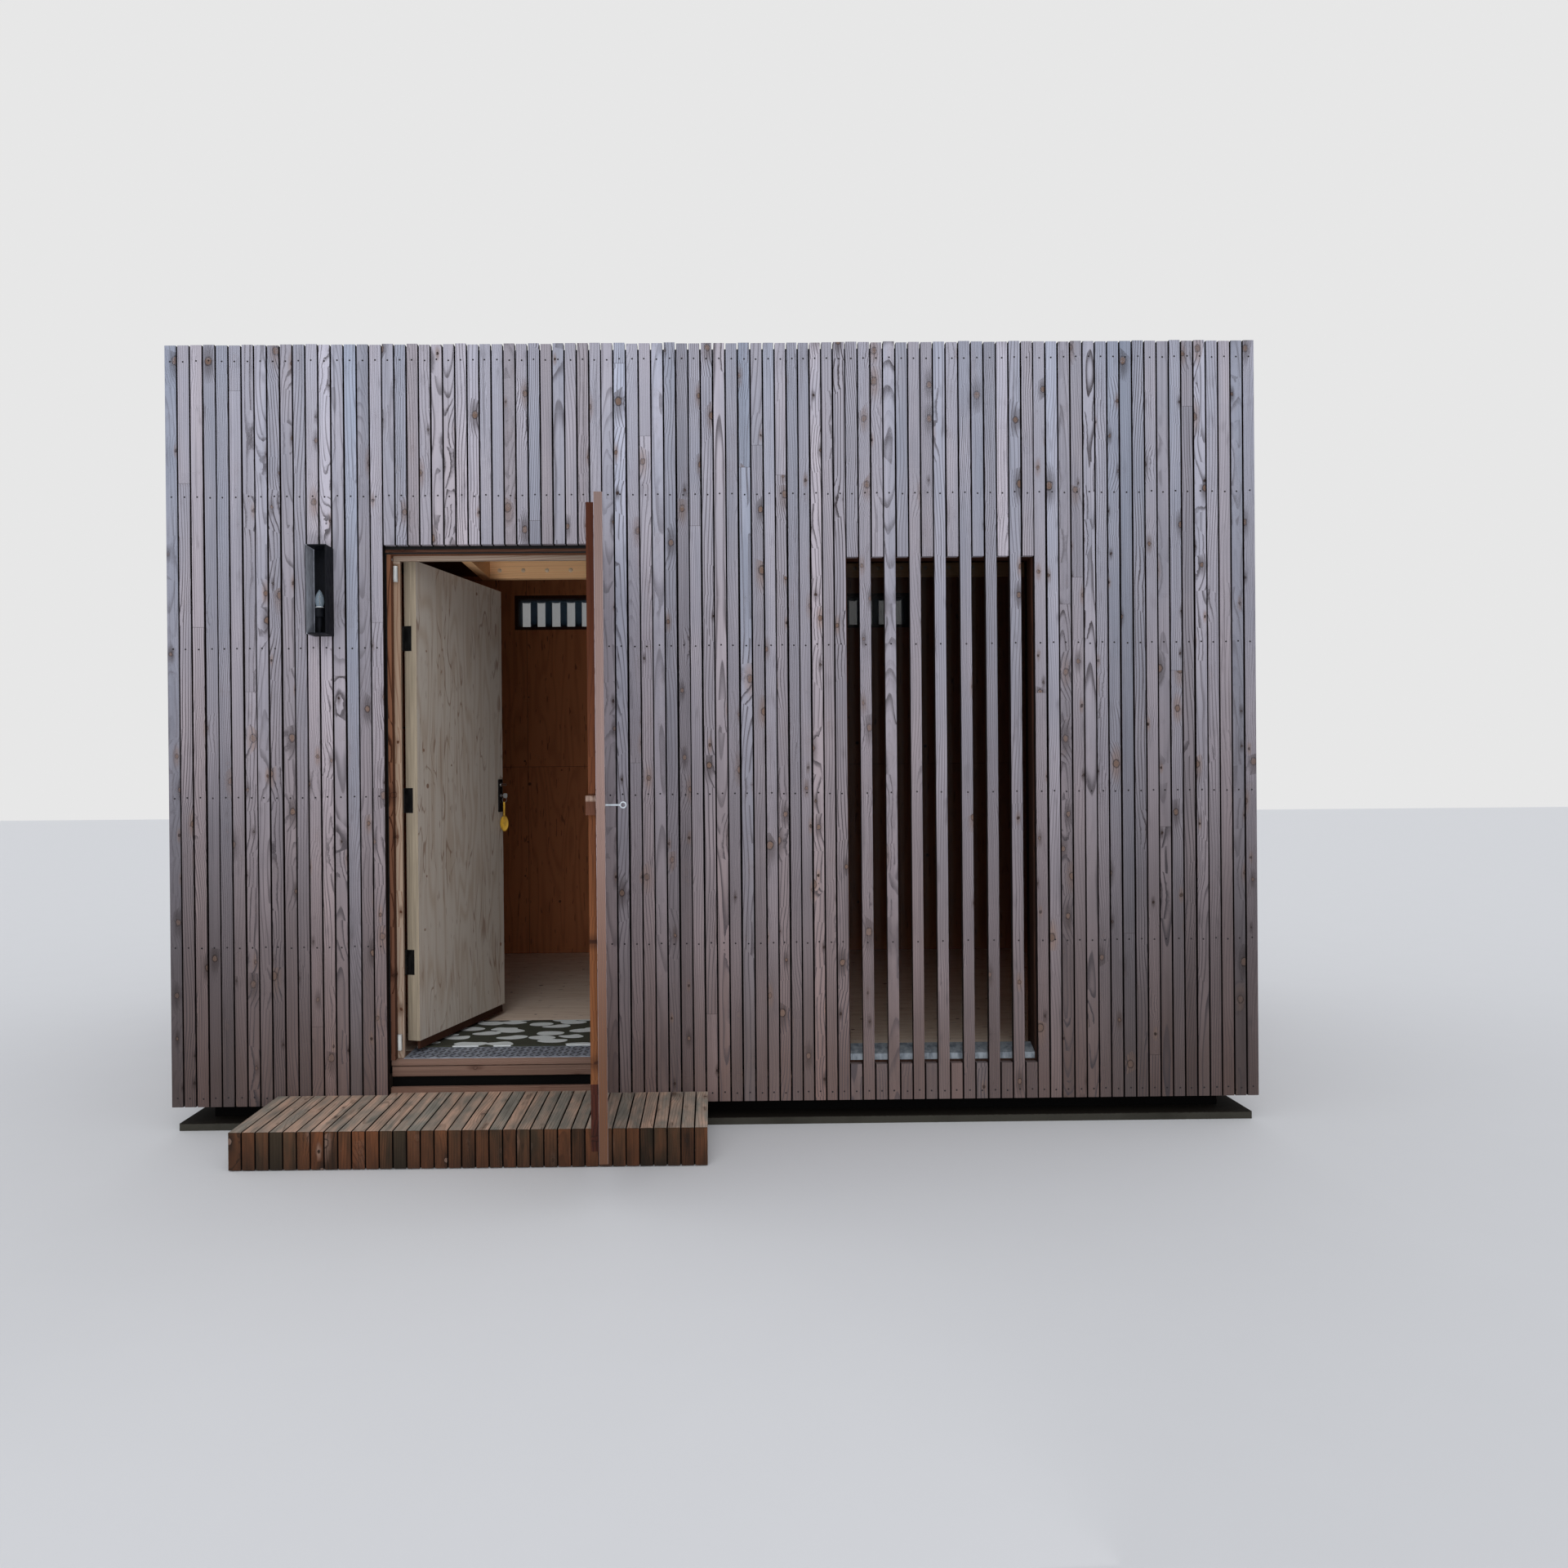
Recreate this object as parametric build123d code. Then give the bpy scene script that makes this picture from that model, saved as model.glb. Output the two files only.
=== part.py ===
from build123d import *
import os

# Garden office pod: a timber box clad in upright battens, with a hinged clad door in front
# of an inner door, a tall slatted window, a rear strip window, a step and a wall light.
# Millimetres. X runs along the front, Y from the front into the pod, Z up.
# The origin is the centre of the pod's footprint at ground level.

# Cladding fields along the front, from left to right, and the gap between battens
LEFT_FIELD = 866.0
DOOR_FIELD = 876.0
MIDDLE_FIELD = 980.0
WINDOW_FIELD = 757.0
RIGHT_FIELD = 896.0
BATTEN_GAP = 5.0
BATTEN_THICK = 30.0
BATTEN_PITCH = 50.0
BATTEN_GROUP = 7
GROOVE_DEPTH = 20.0
REAR_EDGE_BOARD = 20.0
SLAT_COUNT = 15

# Overall depth, and the heights stacked from the ground up
POD_DEPTH = 3060.0
SLAB_HEIGHT = 30.0
PLINTH_HEIGHT = 100.0
CASSETTE_HEIGHT = 105.0
FLOOR_BOARD = 37.0
WALL_HEIGHT = 2527.0
ROOF_HEIGHT = 343.0
KERB_HEIGHT = 44.0
CLADDING_RISE = 18.0
CLADDING_DROP = 29.0

# Wall, lining, roof and base thicknesses
WALL_CORE = 158.0
LINING = 12.0
MEMBRANE = 4.0
KERB_WIDTH = 60.0
CASSETTE_INSET = 75.0
PLINTH_INSET = 120.0
SLAB_INSET = 20.0
SKIRT_LIFT = 20.0
SKIRT_HEIGHT = 60.0
JOINT_GAP = 0.5

# Doorway and its frame, depths counted from the front face of the cladding
DOOR_HEIGHT = 2086.0
CASING_DEPTH = 38.0
CASING_THICK = 36.0
CASING_WIDTH = 22.0
FRAME_WIDTH = 33.0
FRAME_THICK = 79.0
HEAD_DROP = 31.0
STOP_THICK = 20.0
STOP_WIDTH = 16.0
STOP_DROP = 20.0
SILL_DEPTH = 60.0
SILL_FACE = 36.0
PLATE_THICK = 4.0
PLATE_RUN = 45.0
CATCH_RADIUS = 9.0
CATCH_HEIGHT = 64.0
CATCH_LIFT = 35.0
CATCH_DROP = 23.0
CATCH_OFFSET = 33.0

# Step in front of the door
STEP_LEFT_RUN = 441.5
STEP_RIGHT_RUN = 404.5
STEP_DEPTH = 468.0
STEP_TOP = 141.0
DECK_THICK = 22.0
DECK_TONGUE = 33.0
TONGUE_SIDE = 4.0
JOIST_INSET = 30.0
FASCIA_LIFT = 4.0

# Outer clad door leaf
OUTER_OPEN_DEG = 96.0
OUTER_TOP_GAP = 17.0
OUTER_FOOT_GAP = 10.0
OUTER_FREE_GAP = 6.0
PANEL_THICK = 25.0
PANEL_HINGE_INSET = 30.0
PANEL_FREE_INSET = 36.0
PANEL_TOP_INSET = 26.0
RAIL_BOTTOM_INSET = 31.0
RAIL_HEIGHT = 221.0
HINGE_RADIUS = 5.0
OUTER_HINGE_HEIGHT = 114.0
HINGE_PLATE = 1.5
HINGE_STANDOFF = 6.0
HINGE_OFFSET = 2.0
KNUCKLE_GAP = 0.3
OUTER_HINGE_FOOT = 193.0
OUTER_HINGE_HEAD = 191.0
OUTER_HINGE_RISE = 1055.0
PULL_LIFT = 1169.0
PULL_INSET = 60.0
PULL_SHAFT = 3.5
PULL_LENGTH = 50.0
RING_RADIUS = 9.5
RING_WIRE = 2.5
BLOCK_THICK = 12.0
BLOCK_HEIGHT = 64.0
BLOCK_PROUD = 9.0

# Inner door leaf
INNER_OPEN_DEG = 75.0
INNER_THICK = 54.0
INNER_TOP_GAP = 5.0
INNER_FOOT_GAP = 53.0
INNER_HINGE_GAP = 5.0
INNER_FREE_GAP = 8.0
STOP_CLEARANCE = 5.0
INNER_HINGE_FOOT = 326.0
INNER_HINGE_HEAD = 322.0
INNER_HINGE_HEIGHT = 104.0
INNER_HINGE_REACH = 38.0
SEAL_THICK = 12.0
SEAL_DROP = 35.0
SEAL_SETBACK = 6.0
SEAL_END = 12.0
LOCK_WIDTH = 38.0
LOCK_HEIGHT = 156.0
LOCK_THICK = 6.0
LOCK_LIFT = 1009.0
LOCK_INSET = 14.0
CYLINDER_RADIUS = 9.0
CYLINDER_LENGTH = 10.0
CYLINDER_DROP = 30.0

# Front window
WINDOW_HEIGHT = 2063.0
FLASHING_HEIGHT = 25.0
FLASHING_FALL = 29.0
BATTEN_SETDOWN = 35.0
FRAME_BOARD = 20.0
FRAME_LAP = 2.5
WINDOW_FRAME_DEPTH = 95.0
GLASS_SETBACK = 60.0
GLASS_THICK = 24.0

# Rear strip window
STRIP_HALF = 1277.5
STRIP_DROP = 147.0
STRIP_HEIGHT = 186.0
STRIP_SLATS = 25

# Ceiling timbers
BEAM_FACE = 1000.0
BEAM_WIDTH = 45.0
BEAM_CLEARANCE = 78.0
TRIMMER_INSET = 236.5

# Wall light
LAMP_OFFSET = 238.5
LAMP_WIDTH = 82.0
LAMP_DROP = 14.0
LAMP_HEIGHT = 353.0
LAMP_DEPTH = 90.0
LAMP_SHEET = 4.0
STEM_RADIUS = 9.0
STEM_HEIGHT = 68.0
HOLDER_RADIUS = 18.0
HOLDER_HEIGHT = 36.0
BULB_RADIUS = 18.0
BULB_HEIGHT = 72.0
BULB_NECK = 13.0

# Derived heights
CASSETTE_BOTTOM = SLAB_HEIGHT + PLINTH_HEIGHT
CASSETTE_TOP = CASSETTE_BOTTOM + CASSETTE_HEIGHT
FLOOR_TOP = CASSETTE_TOP + FLOOR_BOARD
WALL_TOP = CASSETTE_TOP + WALL_HEIGHT
CEILING = WALL_TOP - LINING
ROOF_TOP = WALL_TOP + ROOF_HEIGHT
KERB_TOP = ROOF_TOP + KERB_HEIGHT
CLADDING_TOP = KERB_TOP + CLADDING_RISE
CLADDING_BOTTOM = CASSETTE_BOTTOM - CLADDING_DROP
SKIRT_BOTTOM = CASSETTE_BOTTOM + SKIRT_LIFT
SKIRT_TOP = SKIRT_BOTTOM + SKIRT_HEIGHT
SILL_TOP = FLOOR_TOP
DOOR_HEAD = FLOOR_TOP + DOOR_HEIGHT
FRAME_HEAD = DOOR_HEAD - HEAD_DROP
STOP_HEAD = FRAME_HEAD - STOP_DROP
OUTER_TOP = DOOR_HEAD - OUTER_TOP_GAP
OUTER_FOOT = STEP_TOP + OUTER_FOOT_GAP
INNER_TOP = FRAME_HEAD - INNER_TOP_GAP
INNER_FOOT = FLOOR_TOP + INNER_FOOT_GAP
BEAM_BOTTOM = INNER_TOP + BEAM_CLEARANCE
WINDOW_HEAD = CASSETTE_TOP + WINDOW_HEIGHT
WINDOW_FOOT = CASSETTE_TOP + FRAME_BOARD + FLASHING_HEIGHT
STRIP_HIGH = CEILING - STRIP_DROP
STRIP_LOW = STRIP_HIGH - STRIP_HEIGHT

# Derived plan positions
POD_WIDTH = LEFT_FIELD + DOOR_FIELD + MIDDLE_FIELD + WINDOW_FIELD + RIGHT_FIELD + 4 * BATTEN_GAP
SIDE = POD_WIDTH / 2
FRONT = -POD_DEPTH / 2
REAR = POD_DEPTH / 2
WALL_OUT = BATTEN_THICK
WALL_IN = BATTEN_THICK + WALL_CORE
ROOM = WALL_IN + LINING
DOOR_LEFT = -SIDE + LEFT_FIELD
DOOR_RIGHT = DOOR_LEFT + DOOR_FIELD + 2 * BATTEN_GAP
WINDOW_LEFT = DOOR_RIGHT + MIDDLE_FIELD
WINDOW_RIGHT = WINDOW_LEFT + WINDOW_FIELD + 2 * BATTEN_GAP
HOLE_LEFT = WINDOW_LEFT + BATTEN_GAP + FRAME_LAP - FRAME_BOARD
HOLE_RIGHT = WINDOW_RIGHT - BATTEN_GAP - FRAME_LAP + FRAME_BOARD
HOLE_HEAD = WINDOW_HEAD + FRAME_BOARD - FRAME_LAP
STRIP_HOLE = STRIP_HALF + FRAME_BOARD
FRAME_DEPTH = CASING_DEPTH + CASING_THICK
STEP_LEFT = DOOR_LEFT - STEP_LEFT_RUN
STEP_RIGHT = DOOR_RIGHT + STEP_RIGHT_RUN
TRIMMER_FACE = DOOR_LEFT + TRIMMER_INSET

# Hinge axes and the hinges' heights on them
OUTER_AXIS_X = DOOR_RIGHT - BATTEN_GAP / 2
OUTER_AXIS_Y = FRONT - HINGE_STANDOFF
INNER_FACE = FRAME_DEPTH + STOP_THICK + STOP_CLEARANCE
INNER_EDGE = DOOR_LEFT + FRAME_WIDTH + INNER_HINGE_GAP
INNER_AXIS_X = INNER_EDGE - INNER_HINGE_GAP + HINGE_OFFSET
INNER_AXIS_Y = FRONT + INNER_FACE + INNER_THICK + HINGE_STANDOFF
OUTER_SWING = Axis((OUTER_AXIS_X, OUTER_AXIS_Y, 0), (0, 0, 1))
INNER_SWING = Axis((INNER_AXIS_X, INNER_AXIS_Y, 0), (0, 0, 1))
OUTER_LOW_HINGE = OUTER_FOOT + OUTER_HINGE_FOOT
OUTER_HINGE_LEVELS = (OUTER_LOW_HINGE, OUTER_LOW_HINGE + OUTER_HINGE_RISE, OUTER_TOP - OUTER_HINGE_HEAD)
INNER_LOW_HINGE = INNER_FOOT + INNER_HINGE_FOOT
INNER_HIGH_HINGE = INNER_TOP - INNER_HINGE_HEAD
INNER_HINGE_LEVELS = (INNER_LOW_HINGE, (INNER_LOW_HINGE + INNER_HIGH_HINGE) / 2, INNER_HIGH_HINGE)


def block(x0, x1, y0, y1, z0, z1):
    """A plain box between two corners."""
    centre = Pos((x0 + x1) / 2, (y0 + y1) / 2, (z0 + z1) / 2)
    return centre * Box(x1 - x0, y1 - y0, z1 - z0)


def front_block(x0, x1, d0, d1, z0, z1):
    """A box whose depths are counted inwards from the front face."""
    return block(x0, x1, FRONT + d0, FRONT + d1, z0, z1)


def rod(x, y, z, radius, height):
    """An upright cylinder standing on z."""
    return Pos(x, y, z + height / 2) * Cylinder(radius, height)


def mirror_sides(x0, x1, y0, y1, z0, z1):
    """The same box on the left and the right of the pod, x counted outwards."""
    return [block(-x1, -x0, y0, y1, z0, z1), block(x0, x1, y0, y1, z0, z1)]


def drawn_gaps(start, end):
    """Centres of the gaps drawn along a run of battens, one after each group of them."""
    run = end - start + BATTEN_GAP
    count = round(run / BATTEN_PITCH)
    pitch = run / count
    return [start + place * pitch - BATTEN_GAP / 2
            for place in range(BATTEN_GROUP, count, BATTEN_GROUP)]


def batten_front(x0, x1, low, top):
    """A run of battens on the front as one slab, with its drawn gaps cut into its face."""
    slab = front_block(x0, x1, 0, BATTEN_THICK, low, top)
    for x in drawn_gaps(x0, x1):
        slab -= front_block(x - BATTEN_GAP / 2, x + BATTEN_GAP / 2, 0, GROOVE_DEPTH, low, top)
    return slab


def save(name, *solids):
    """Writes one named piece, made of one or more separate solids."""
    shape = solids[0] if len(solids) == 1 else Compound(children=list(solids))
    export_step(shape, os.path.join("parts", name + ".step"))


# Base
def base():
    save("ground_slab", block(-SIDE + SLAB_INSET, SIDE - SLAB_INSET,
                              FRONT + SLAB_INSET, REAR - SLAB_INSET, 0, SLAB_HEIGHT))
    save("plinth", block(-SIDE + PLINTH_INSET, SIDE - PLINTH_INSET,
                         FRONT + PLINTH_INSET, REAR - PLINTH_INSET, SLAB_HEIGHT, CASSETTE_BOTTOM))
    save("floor_frame", block(-SIDE + CASSETTE_INSET, SIDE - CASSETTE_INSET,
                              FRONT + CASSETTE_INSET, REAR - CASSETTE_INSET,
                              CASSETTE_BOTTOM, CASSETTE_TOP))
    save("floor_deck", block(-SIDE + ROOM, SIDE - ROOM, FRONT + ROOM, REAR - ROOM,
                             CASSETTE_TOP, FLOOR_TOP))
    reach = SIDE - WALL_OUT
    bars = [
        front_block(-reach, DOOR_LEFT, WALL_OUT, CASSETTE_INSET, SKIRT_BOTTOM, SKIRT_TOP),
        front_block(DOOR_RIGHT, reach, WALL_OUT, CASSETTE_INSET, SKIRT_BOTTOM, SKIRT_TOP),
        block(-reach, reach, REAR - CASSETTE_INSET, REAR - WALL_OUT, SKIRT_BOTTOM, SKIRT_TOP),
    ]
    end = CASSETTE_INSET + JOINT_GAP
    bars += mirror_sides(SIDE - CASSETTE_INSET, reach, FRONT + end, REAR - end,
                         SKIRT_BOTTOM, SKIRT_TOP)
    save("skirt_rails", *bars)


# Insulated walls, split beside and over the doorway and the window
def walls():
    reach = SIDE - WALL_OUT
    low, top = CASSETTE_TOP, WALL_TOP
    save("front_wall_left", front_block(-reach, DOOR_LEFT, WALL_OUT, WALL_IN, low, top))
    save("front_wall_middle", front_block(DOOR_RIGHT, HOLE_LEFT, WALL_OUT, WALL_IN, low, top))
    save("front_wall_right", front_block(HOLE_RIGHT, reach, WALL_OUT, WALL_IN, low, top))
    save("front_wall_over_door",
         front_block(DOOR_LEFT, DOOR_RIGHT, WALL_OUT, WALL_IN, DOOR_HEAD, top))
    save("front_wall_over_window",
         front_block(HOLE_LEFT, HOLE_RIGHT, WALL_OUT, WALL_IN, HOLE_HEAD, top))
    y0, y1 = FRONT + WALL_IN, REAR - WALL_IN
    save("side_walls", *mirror_sides(SIDE - WALL_IN, reach, y0, y1, low, top))
    y0, y1 = REAR - WALL_IN, REAR - WALL_OUT
    sill, head = STRIP_LOW - FRAME_BOARD, STRIP_HIGH + FRAME_BOARD
    ends = mirror_sides(STRIP_HOLE, reach, y0, y1, sill + JOINT_GAP, head - JOINT_GAP)
    save("rear_wall", block(-reach, reach, y0, y1, low, sill),
         block(-reach, reach, y0, y1, head, top), *ends)


# Plywood linings
def linings():
    inner = SIDE - WALL_IN
    front = front_block(-inner, inner, WALL_IN, ROOM, FLOOR_TOP, CEILING)
    front -= front_block(DOOR_LEFT, DOOR_RIGHT, WALL_IN, ROOM, FLOOR_TOP, DOOR_HEAD)
    front -= front_block(HOLE_LEFT, HOLE_RIGHT, WALL_IN, ROOM, FLOOR_TOP, HOLE_HEAD)
    rear = block(-inner, inner, REAR - ROOM, REAR - WALL_IN, FLOOR_TOP, CEILING)
    rear -= block(-STRIP_HOLE, STRIP_HOLE, REAR - ROOM, REAR - WALL_IN,
                  STRIP_LOW - FRAME_BOARD, STRIP_HIGH + FRAME_BOARD)
    end = ROOM + JOINT_GAP
    sides = mirror_sides(SIDE - ROOM, inner, FRONT + end, REAR - end, FLOOR_TOP, CEILING)
    save("wall_linings", *front.solids(), rear, *sides)
    save("ceiling_lining", block(-inner, inner, FRONT + WALL_IN, REAR - WALL_IN,
                                 CEILING, WALL_TOP))


# Batten cladding, one slab for each field, with a gap drawn after each group of battens
def cladding():
    low, top, thick = CLADDING_BOTTOM, CLADDING_TOP, BATTEN_THICK
    door_edge = DOOR_LEFT + BATTEN_GAP
    save("cladding_front",
         batten_front(-SIDE, DOOR_LEFT, low, top),
         batten_front(door_edge, door_edge + DOOR_FIELD, DOOR_HEAD, top),
         batten_front(DOOR_RIGHT, WINDOW_LEFT, low, top),
         batten_front(WINDOW_RIGHT, SIDE, low, top))
    pitch = (WINDOW_FIELD + BATTEN_GAP) / SLAT_COUNT
    slats, short = [], []
    for index in range(SLAT_COUNT):
        x0 = WINDOW_LEFT + BATTEN_GAP + index * pitch
        x1 = x0 + pitch - BATTEN_GAP
        if index % 2:
            slats.append(front_block(x0, x1, 0, thick, low, top))
        else:
            short.append(front_block(x0, x1, 0, thick, WINDOW_HEAD, top))
            short.append(front_block(x0, x1, 0, thick, low, WINDOW_FOOT - BATTEN_SETDOWN))
    save("window_slats", *slats)
    save("window_short_battens", *short)
    sides = mirror_sides(SIDE - thick, SIDE, FRONT + thick, REAR - thick, low, top)
    for y in drawn_gaps(FRONT + thick, REAR - thick):
        cuts = mirror_sides(SIDE - GROOVE_DEPTH, SIDE, y - BATTEN_GAP / 2, y + BATTEN_GAP / 2,
                            low, top)
        sides = [side - cut for side, cut in zip(sides, cuts)]
    save("cladding_sides", *sides)
    rear = block(-SIDE, SIDE, REAR - thick, REAR, low, top)
    rear_end = SIDE - REAR_EDGE_BOARD - BATTEN_GAP
    for x in drawn_gaps(-rear_end, rear_end):
        rear -= block(x - BATTEN_GAP / 2, x + BATTEN_GAP / 2, REAR - GROOVE_DEPTH, REAR, low, top)
    rear -= block(-STRIP_HALF, STRIP_HALF, REAR - thick, REAR, STRIP_LOW, STRIP_HIGH)
    save("cladding_rear", rear)


# Flat roof with its membrane and edge kerb, below the batten tops
def roof():
    reach = SIDE - WALL_OUT
    edge = REAR - WALL_OUT
    inner = reach - KERB_WIDTH
    depth = edge - KERB_WIDTH
    save("roof_deck", block(-reach, reach, -edge, edge, WALL_TOP, ROOF_TOP))
    save("roof_membrane", block(-inner, inner, -depth, depth, ROOF_TOP, ROOF_TOP + MEMBRANE))
    kerbs = [
        block(-reach, reach, -edge, -depth, ROOF_TOP, KERB_TOP),
        block(-reach, reach, depth, edge, ROOF_TOP, KERB_TOP),
    ]
    end = depth - JOINT_GAP
    kerbs += mirror_sides(inner, reach, -end, end, ROOF_TOP, KERB_TOP)
    save("roof_kerb", *kerbs)


# Timbers seen under the ceiling through the doorway
def ceiling_timbers():
    face = FRONT + BEAM_FACE
    save("ceiling_beams",
         block(TRIMMER_FACE - BEAM_WIDTH, SIDE - ROOM,
               face, face + BEAM_WIDTH, BEAM_BOTTOM, CEILING),
         block(TRIMMER_FACE - BEAM_WIDTH, TRIMMER_FACE,
               FRONT + ROOM, face - JOINT_GAP, BEAM_BOTTOM, CEILING))


# Door frame: outer casing, frame, stops, sill and tread plate
def door_frame():
    near, far = CASING_DEPTH, FRAME_DEPTH
    back = FRAME_DEPTH + FRAME_THICK
    jamb_top = FRAME_HEAD - JOINT_GAP
    save("door_casing",
         front_block(DOOR_LEFT, DOOR_LEFT + CASING_WIDTH, near, far, SILL_TOP, jamb_top),
         front_block(DOOR_RIGHT - CASING_WIDTH, DOOR_RIGHT, near, far, SILL_TOP, jamb_top),
         front_block(DOOR_LEFT, DOOR_RIGHT, near, far, FRAME_HEAD, DOOR_HEAD))
    save("door_frame",
         front_block(DOOR_LEFT, DOOR_LEFT + FRAME_WIDTH, far, back, SILL_TOP, jamb_top),
         front_block(DOOR_RIGHT - FRAME_WIDTH, DOOR_RIGHT, far, back, SILL_TOP, jamb_top),
         front_block(DOOR_LEFT, DOOR_RIGHT, far, back, FRAME_HEAD, DOOR_HEAD))
    left, right = DOOR_LEFT + FRAME_WIDTH, DOOR_RIGHT - FRAME_WIDTH
    stop_end = far + STOP_THICK
    stop_top = STOP_HEAD - JOINT_GAP
    save("door_stops",
         front_block(left, left + STOP_WIDTH, far, stop_end, SILL_TOP, stop_top),
         front_block(right - STOP_WIDTH, right, far, stop_end, SILL_TOP, stop_top),
         front_block(left, right, far, stop_end, STOP_HEAD, FRAME_HEAD))
    lower = front_block(DOOR_LEFT, DOOR_RIGHT, SILL_DEPTH, CASSETTE_INSET,
                        CASSETTE_TOP - SILL_FACE, CASSETTE_TOP)
    upper = front_block(DOOR_LEFT, DOOR_RIGHT, SILL_DEPTH, ROOM, CASSETTE_TOP, SILL_TOP)
    save("door_sill", lower + upper)
    plate_left = left + STOP_WIDTH + JOINT_GAP
    plate_right = right - STOP_WIDTH - JOINT_GAP
    save("tread_plate", front_block(plate_left, plate_right, SILL_DEPTH, ROOM + PLATE_RUN,
                                    SILL_TOP, SILL_TOP + PLATE_THICK))
    catch_x = DOOR_LEFT + CATCH_OFFSET
    catch_y = FRONT + FRAME_DEPTH - CATCH_RADIUS
    levels = (SILL_TOP + CATCH_LIFT, STOP_HEAD - CATCH_DROP - CATCH_HEIGHT)
    save("door_catches", *[rod(catch_x, catch_y, level, CATCH_RADIUS, CATCH_HEIGHT)
                           for level in levels])


def hinge_half(axis_at, level, height, plate_x, reach, moving):
    """One half of a butt hinge: its plate, and either the end knuckles or the middle one."""
    x, y = axis_at
    third = height / 3
    z = level - height / 2
    top = z + height
    if moving:
        spans = [(z + third, top - third)]
    else:
        spans = [(z, z + third - KNUCKLE_GAP), (top - third + KNUCKLE_GAP, top)]
    side = 1 if reach > 0 else -1
    start = y + side * (HINGE_RADIUS + KNUCKLE_GAP)
    end = y + reach
    half = block(*plate_x, min(start, end), max(start, end), z, top)
    for low, high in spans:
        half += rod(x, y, low, HINGE_RADIUS, high - low)
        half += block(*plate_x, min(y, start), max(y, start), low, high)
    return half


# Hinges, drawn with both leaves closed
def outer_hinge(level, moving):
    post = DOOR_RIGHT - BATTEN_GAP if moving else DOOR_RIGHT - HINGE_PLATE
    return hinge_half((OUTER_AXIS_X, OUTER_AXIS_Y), level, OUTER_HINGE_HEIGHT,
                      (post, post + HINGE_PLATE), HINGE_STANDOFF + BATTEN_THICK, moving)


def inner_hinge(level, moving):
    post = INNER_EDGE - HINGE_PLATE if moving else DOOR_LEFT + FRAME_WIDTH
    return hinge_half((INNER_AXIS_X, INNER_AXIS_Y), level, INNER_HINGE_HEIGHT,
                      (post, post + HINGE_PLATE), -INNER_HINGE_REACH, moving)


def fixed_hinges():
    save("door_hinges", *[outer_hinge(level, False) for level in OUTER_HINGE_LEVELS],
         *[inner_hinge(level, False) for level in INNER_HINGE_LEVELS])


def swung(name, solids, axis, degrees):
    """Saves a closed leaf's piece turned to the angle at which the door stands."""
    save(name, *[solid.rotate(axis, degrees) for solid in solids])


# Outer clad leaf, drawn closed and turned open about its hinge axis
def outer_leaf():
    left = DOOR_LEFT + OUTER_FREE_GAP
    right = DOOR_RIGHT - BATTEN_GAP
    thick = BATTEN_THICK
    back = thick + PANEL_THICK
    face = batten_front(left, right, OUTER_FOOT, OUTER_TOP)
    panel_left = left + PANEL_FREE_INSET
    panel_right = right - PANEL_HINGE_INSET
    rail_low = OUTER_FOOT + RAIL_BOTTOM_INSET
    rail_top = rail_low + RAIL_HEIGHT
    panel = front_block(panel_left, panel_right, thick, back, rail_top,
                        OUTER_TOP - PANEL_TOP_INSET)
    rail = front_block(panel_left, panel_right, thick, back, rail_low, rail_top)
    level = OUTER_FOOT + PULL_LIFT
    keep = front_block(panel_left - BLOCK_THICK, panel_left, thick, back + BLOCK_PROUD,
                       level - BLOCK_HEIGHT / 2, level + BLOCK_HEIGHT / 2)
    pull_x = left + PULL_INSET
    shaft = Pos(pull_x, FRONT - PULL_LENGTH / 2, level) * Rot(90, 0, 0)
    pull = shaft * Cylinder(PULL_SHAFT, PULL_LENGTH)
    ring_y = FRONT - PULL_LENGTH - RING_RADIUS
    pull += Pos(pull_x, ring_y, level) * Rot(0, 90, 0) * Torus(RING_RADIUS, RING_WIRE)
    hung = [outer_hinge(level, True) for level in OUTER_HINGE_LEVELS]
    pieces = {"outer_leaf_cladding": [face], "outer_leaf_panel": [panel],
              "outer_leaf_kick_rail": [rail], "outer_leaf_block": [keep],
              "outer_leaf_hinges": hung, "ring_pull": [pull]}
    for name, solids in pieces.items():
        swung(name, solids, OUTER_SWING, OUTER_OPEN_DEG)


# Inner leaf, drawn closed and turned into the room about its hinge axis
def inner_leaf():
    right = DOOR_RIGHT - FRAME_WIDTH - INNER_FREE_GAP
    near, far = INNER_FACE, INNER_FACE + INNER_THICK
    leaf = front_block(INNER_EDGE, right, near, far, INNER_FOOT, INNER_TOP)
    seal = front_block(INNER_EDGE + SEAL_END, right - SEAL_END, near + SEAL_SETBACK,
                       near + SEAL_SETBACK + SEAL_THICK, INNER_FOOT - SEAL_DROP, INNER_FOOT)
    lock_right = right - LOCK_INSET
    level = INNER_FOOT + LOCK_LIFT
    plate = front_block(lock_right - LOCK_WIDTH, lock_right, near - LOCK_THICK, near,
                        level - LOCK_HEIGHT / 2, level + LOCK_HEIGHT / 2)
    barrel_at = Pos(lock_right - LOCK_WIDTH / 2, FRONT + near - CYLINDER_LENGTH / 2,
                    level - CYLINDER_DROP)
    barrel = barrel_at * Rot(90, 0, 0) * Cylinder(CYLINDER_RADIUS, CYLINDER_LENGTH)
    hung = [inner_hinge(level, True) for level in INNER_HINGE_LEVELS]
    pieces = {"inner_leaf": [leaf], "inner_leaf_seal": [seal],
              "inner_leaf_hinges": hung, "inner_leaf_lock": [plate + barrel]}
    for name, solids in pieces.items():
        swung(name, solids, INNER_SWING, INNER_OPEN_DEG)


def ring_frame(x0, x1, y0, y1, z0, z1, board):
    """A rectangular frame of one board width around an opening in X and Z."""
    hole = block(x0 + board, x1 - board, y0, y1, z0 + board, z1 - board)
    return block(x0, x1, y0, y1, z0, z1) - hole


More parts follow.
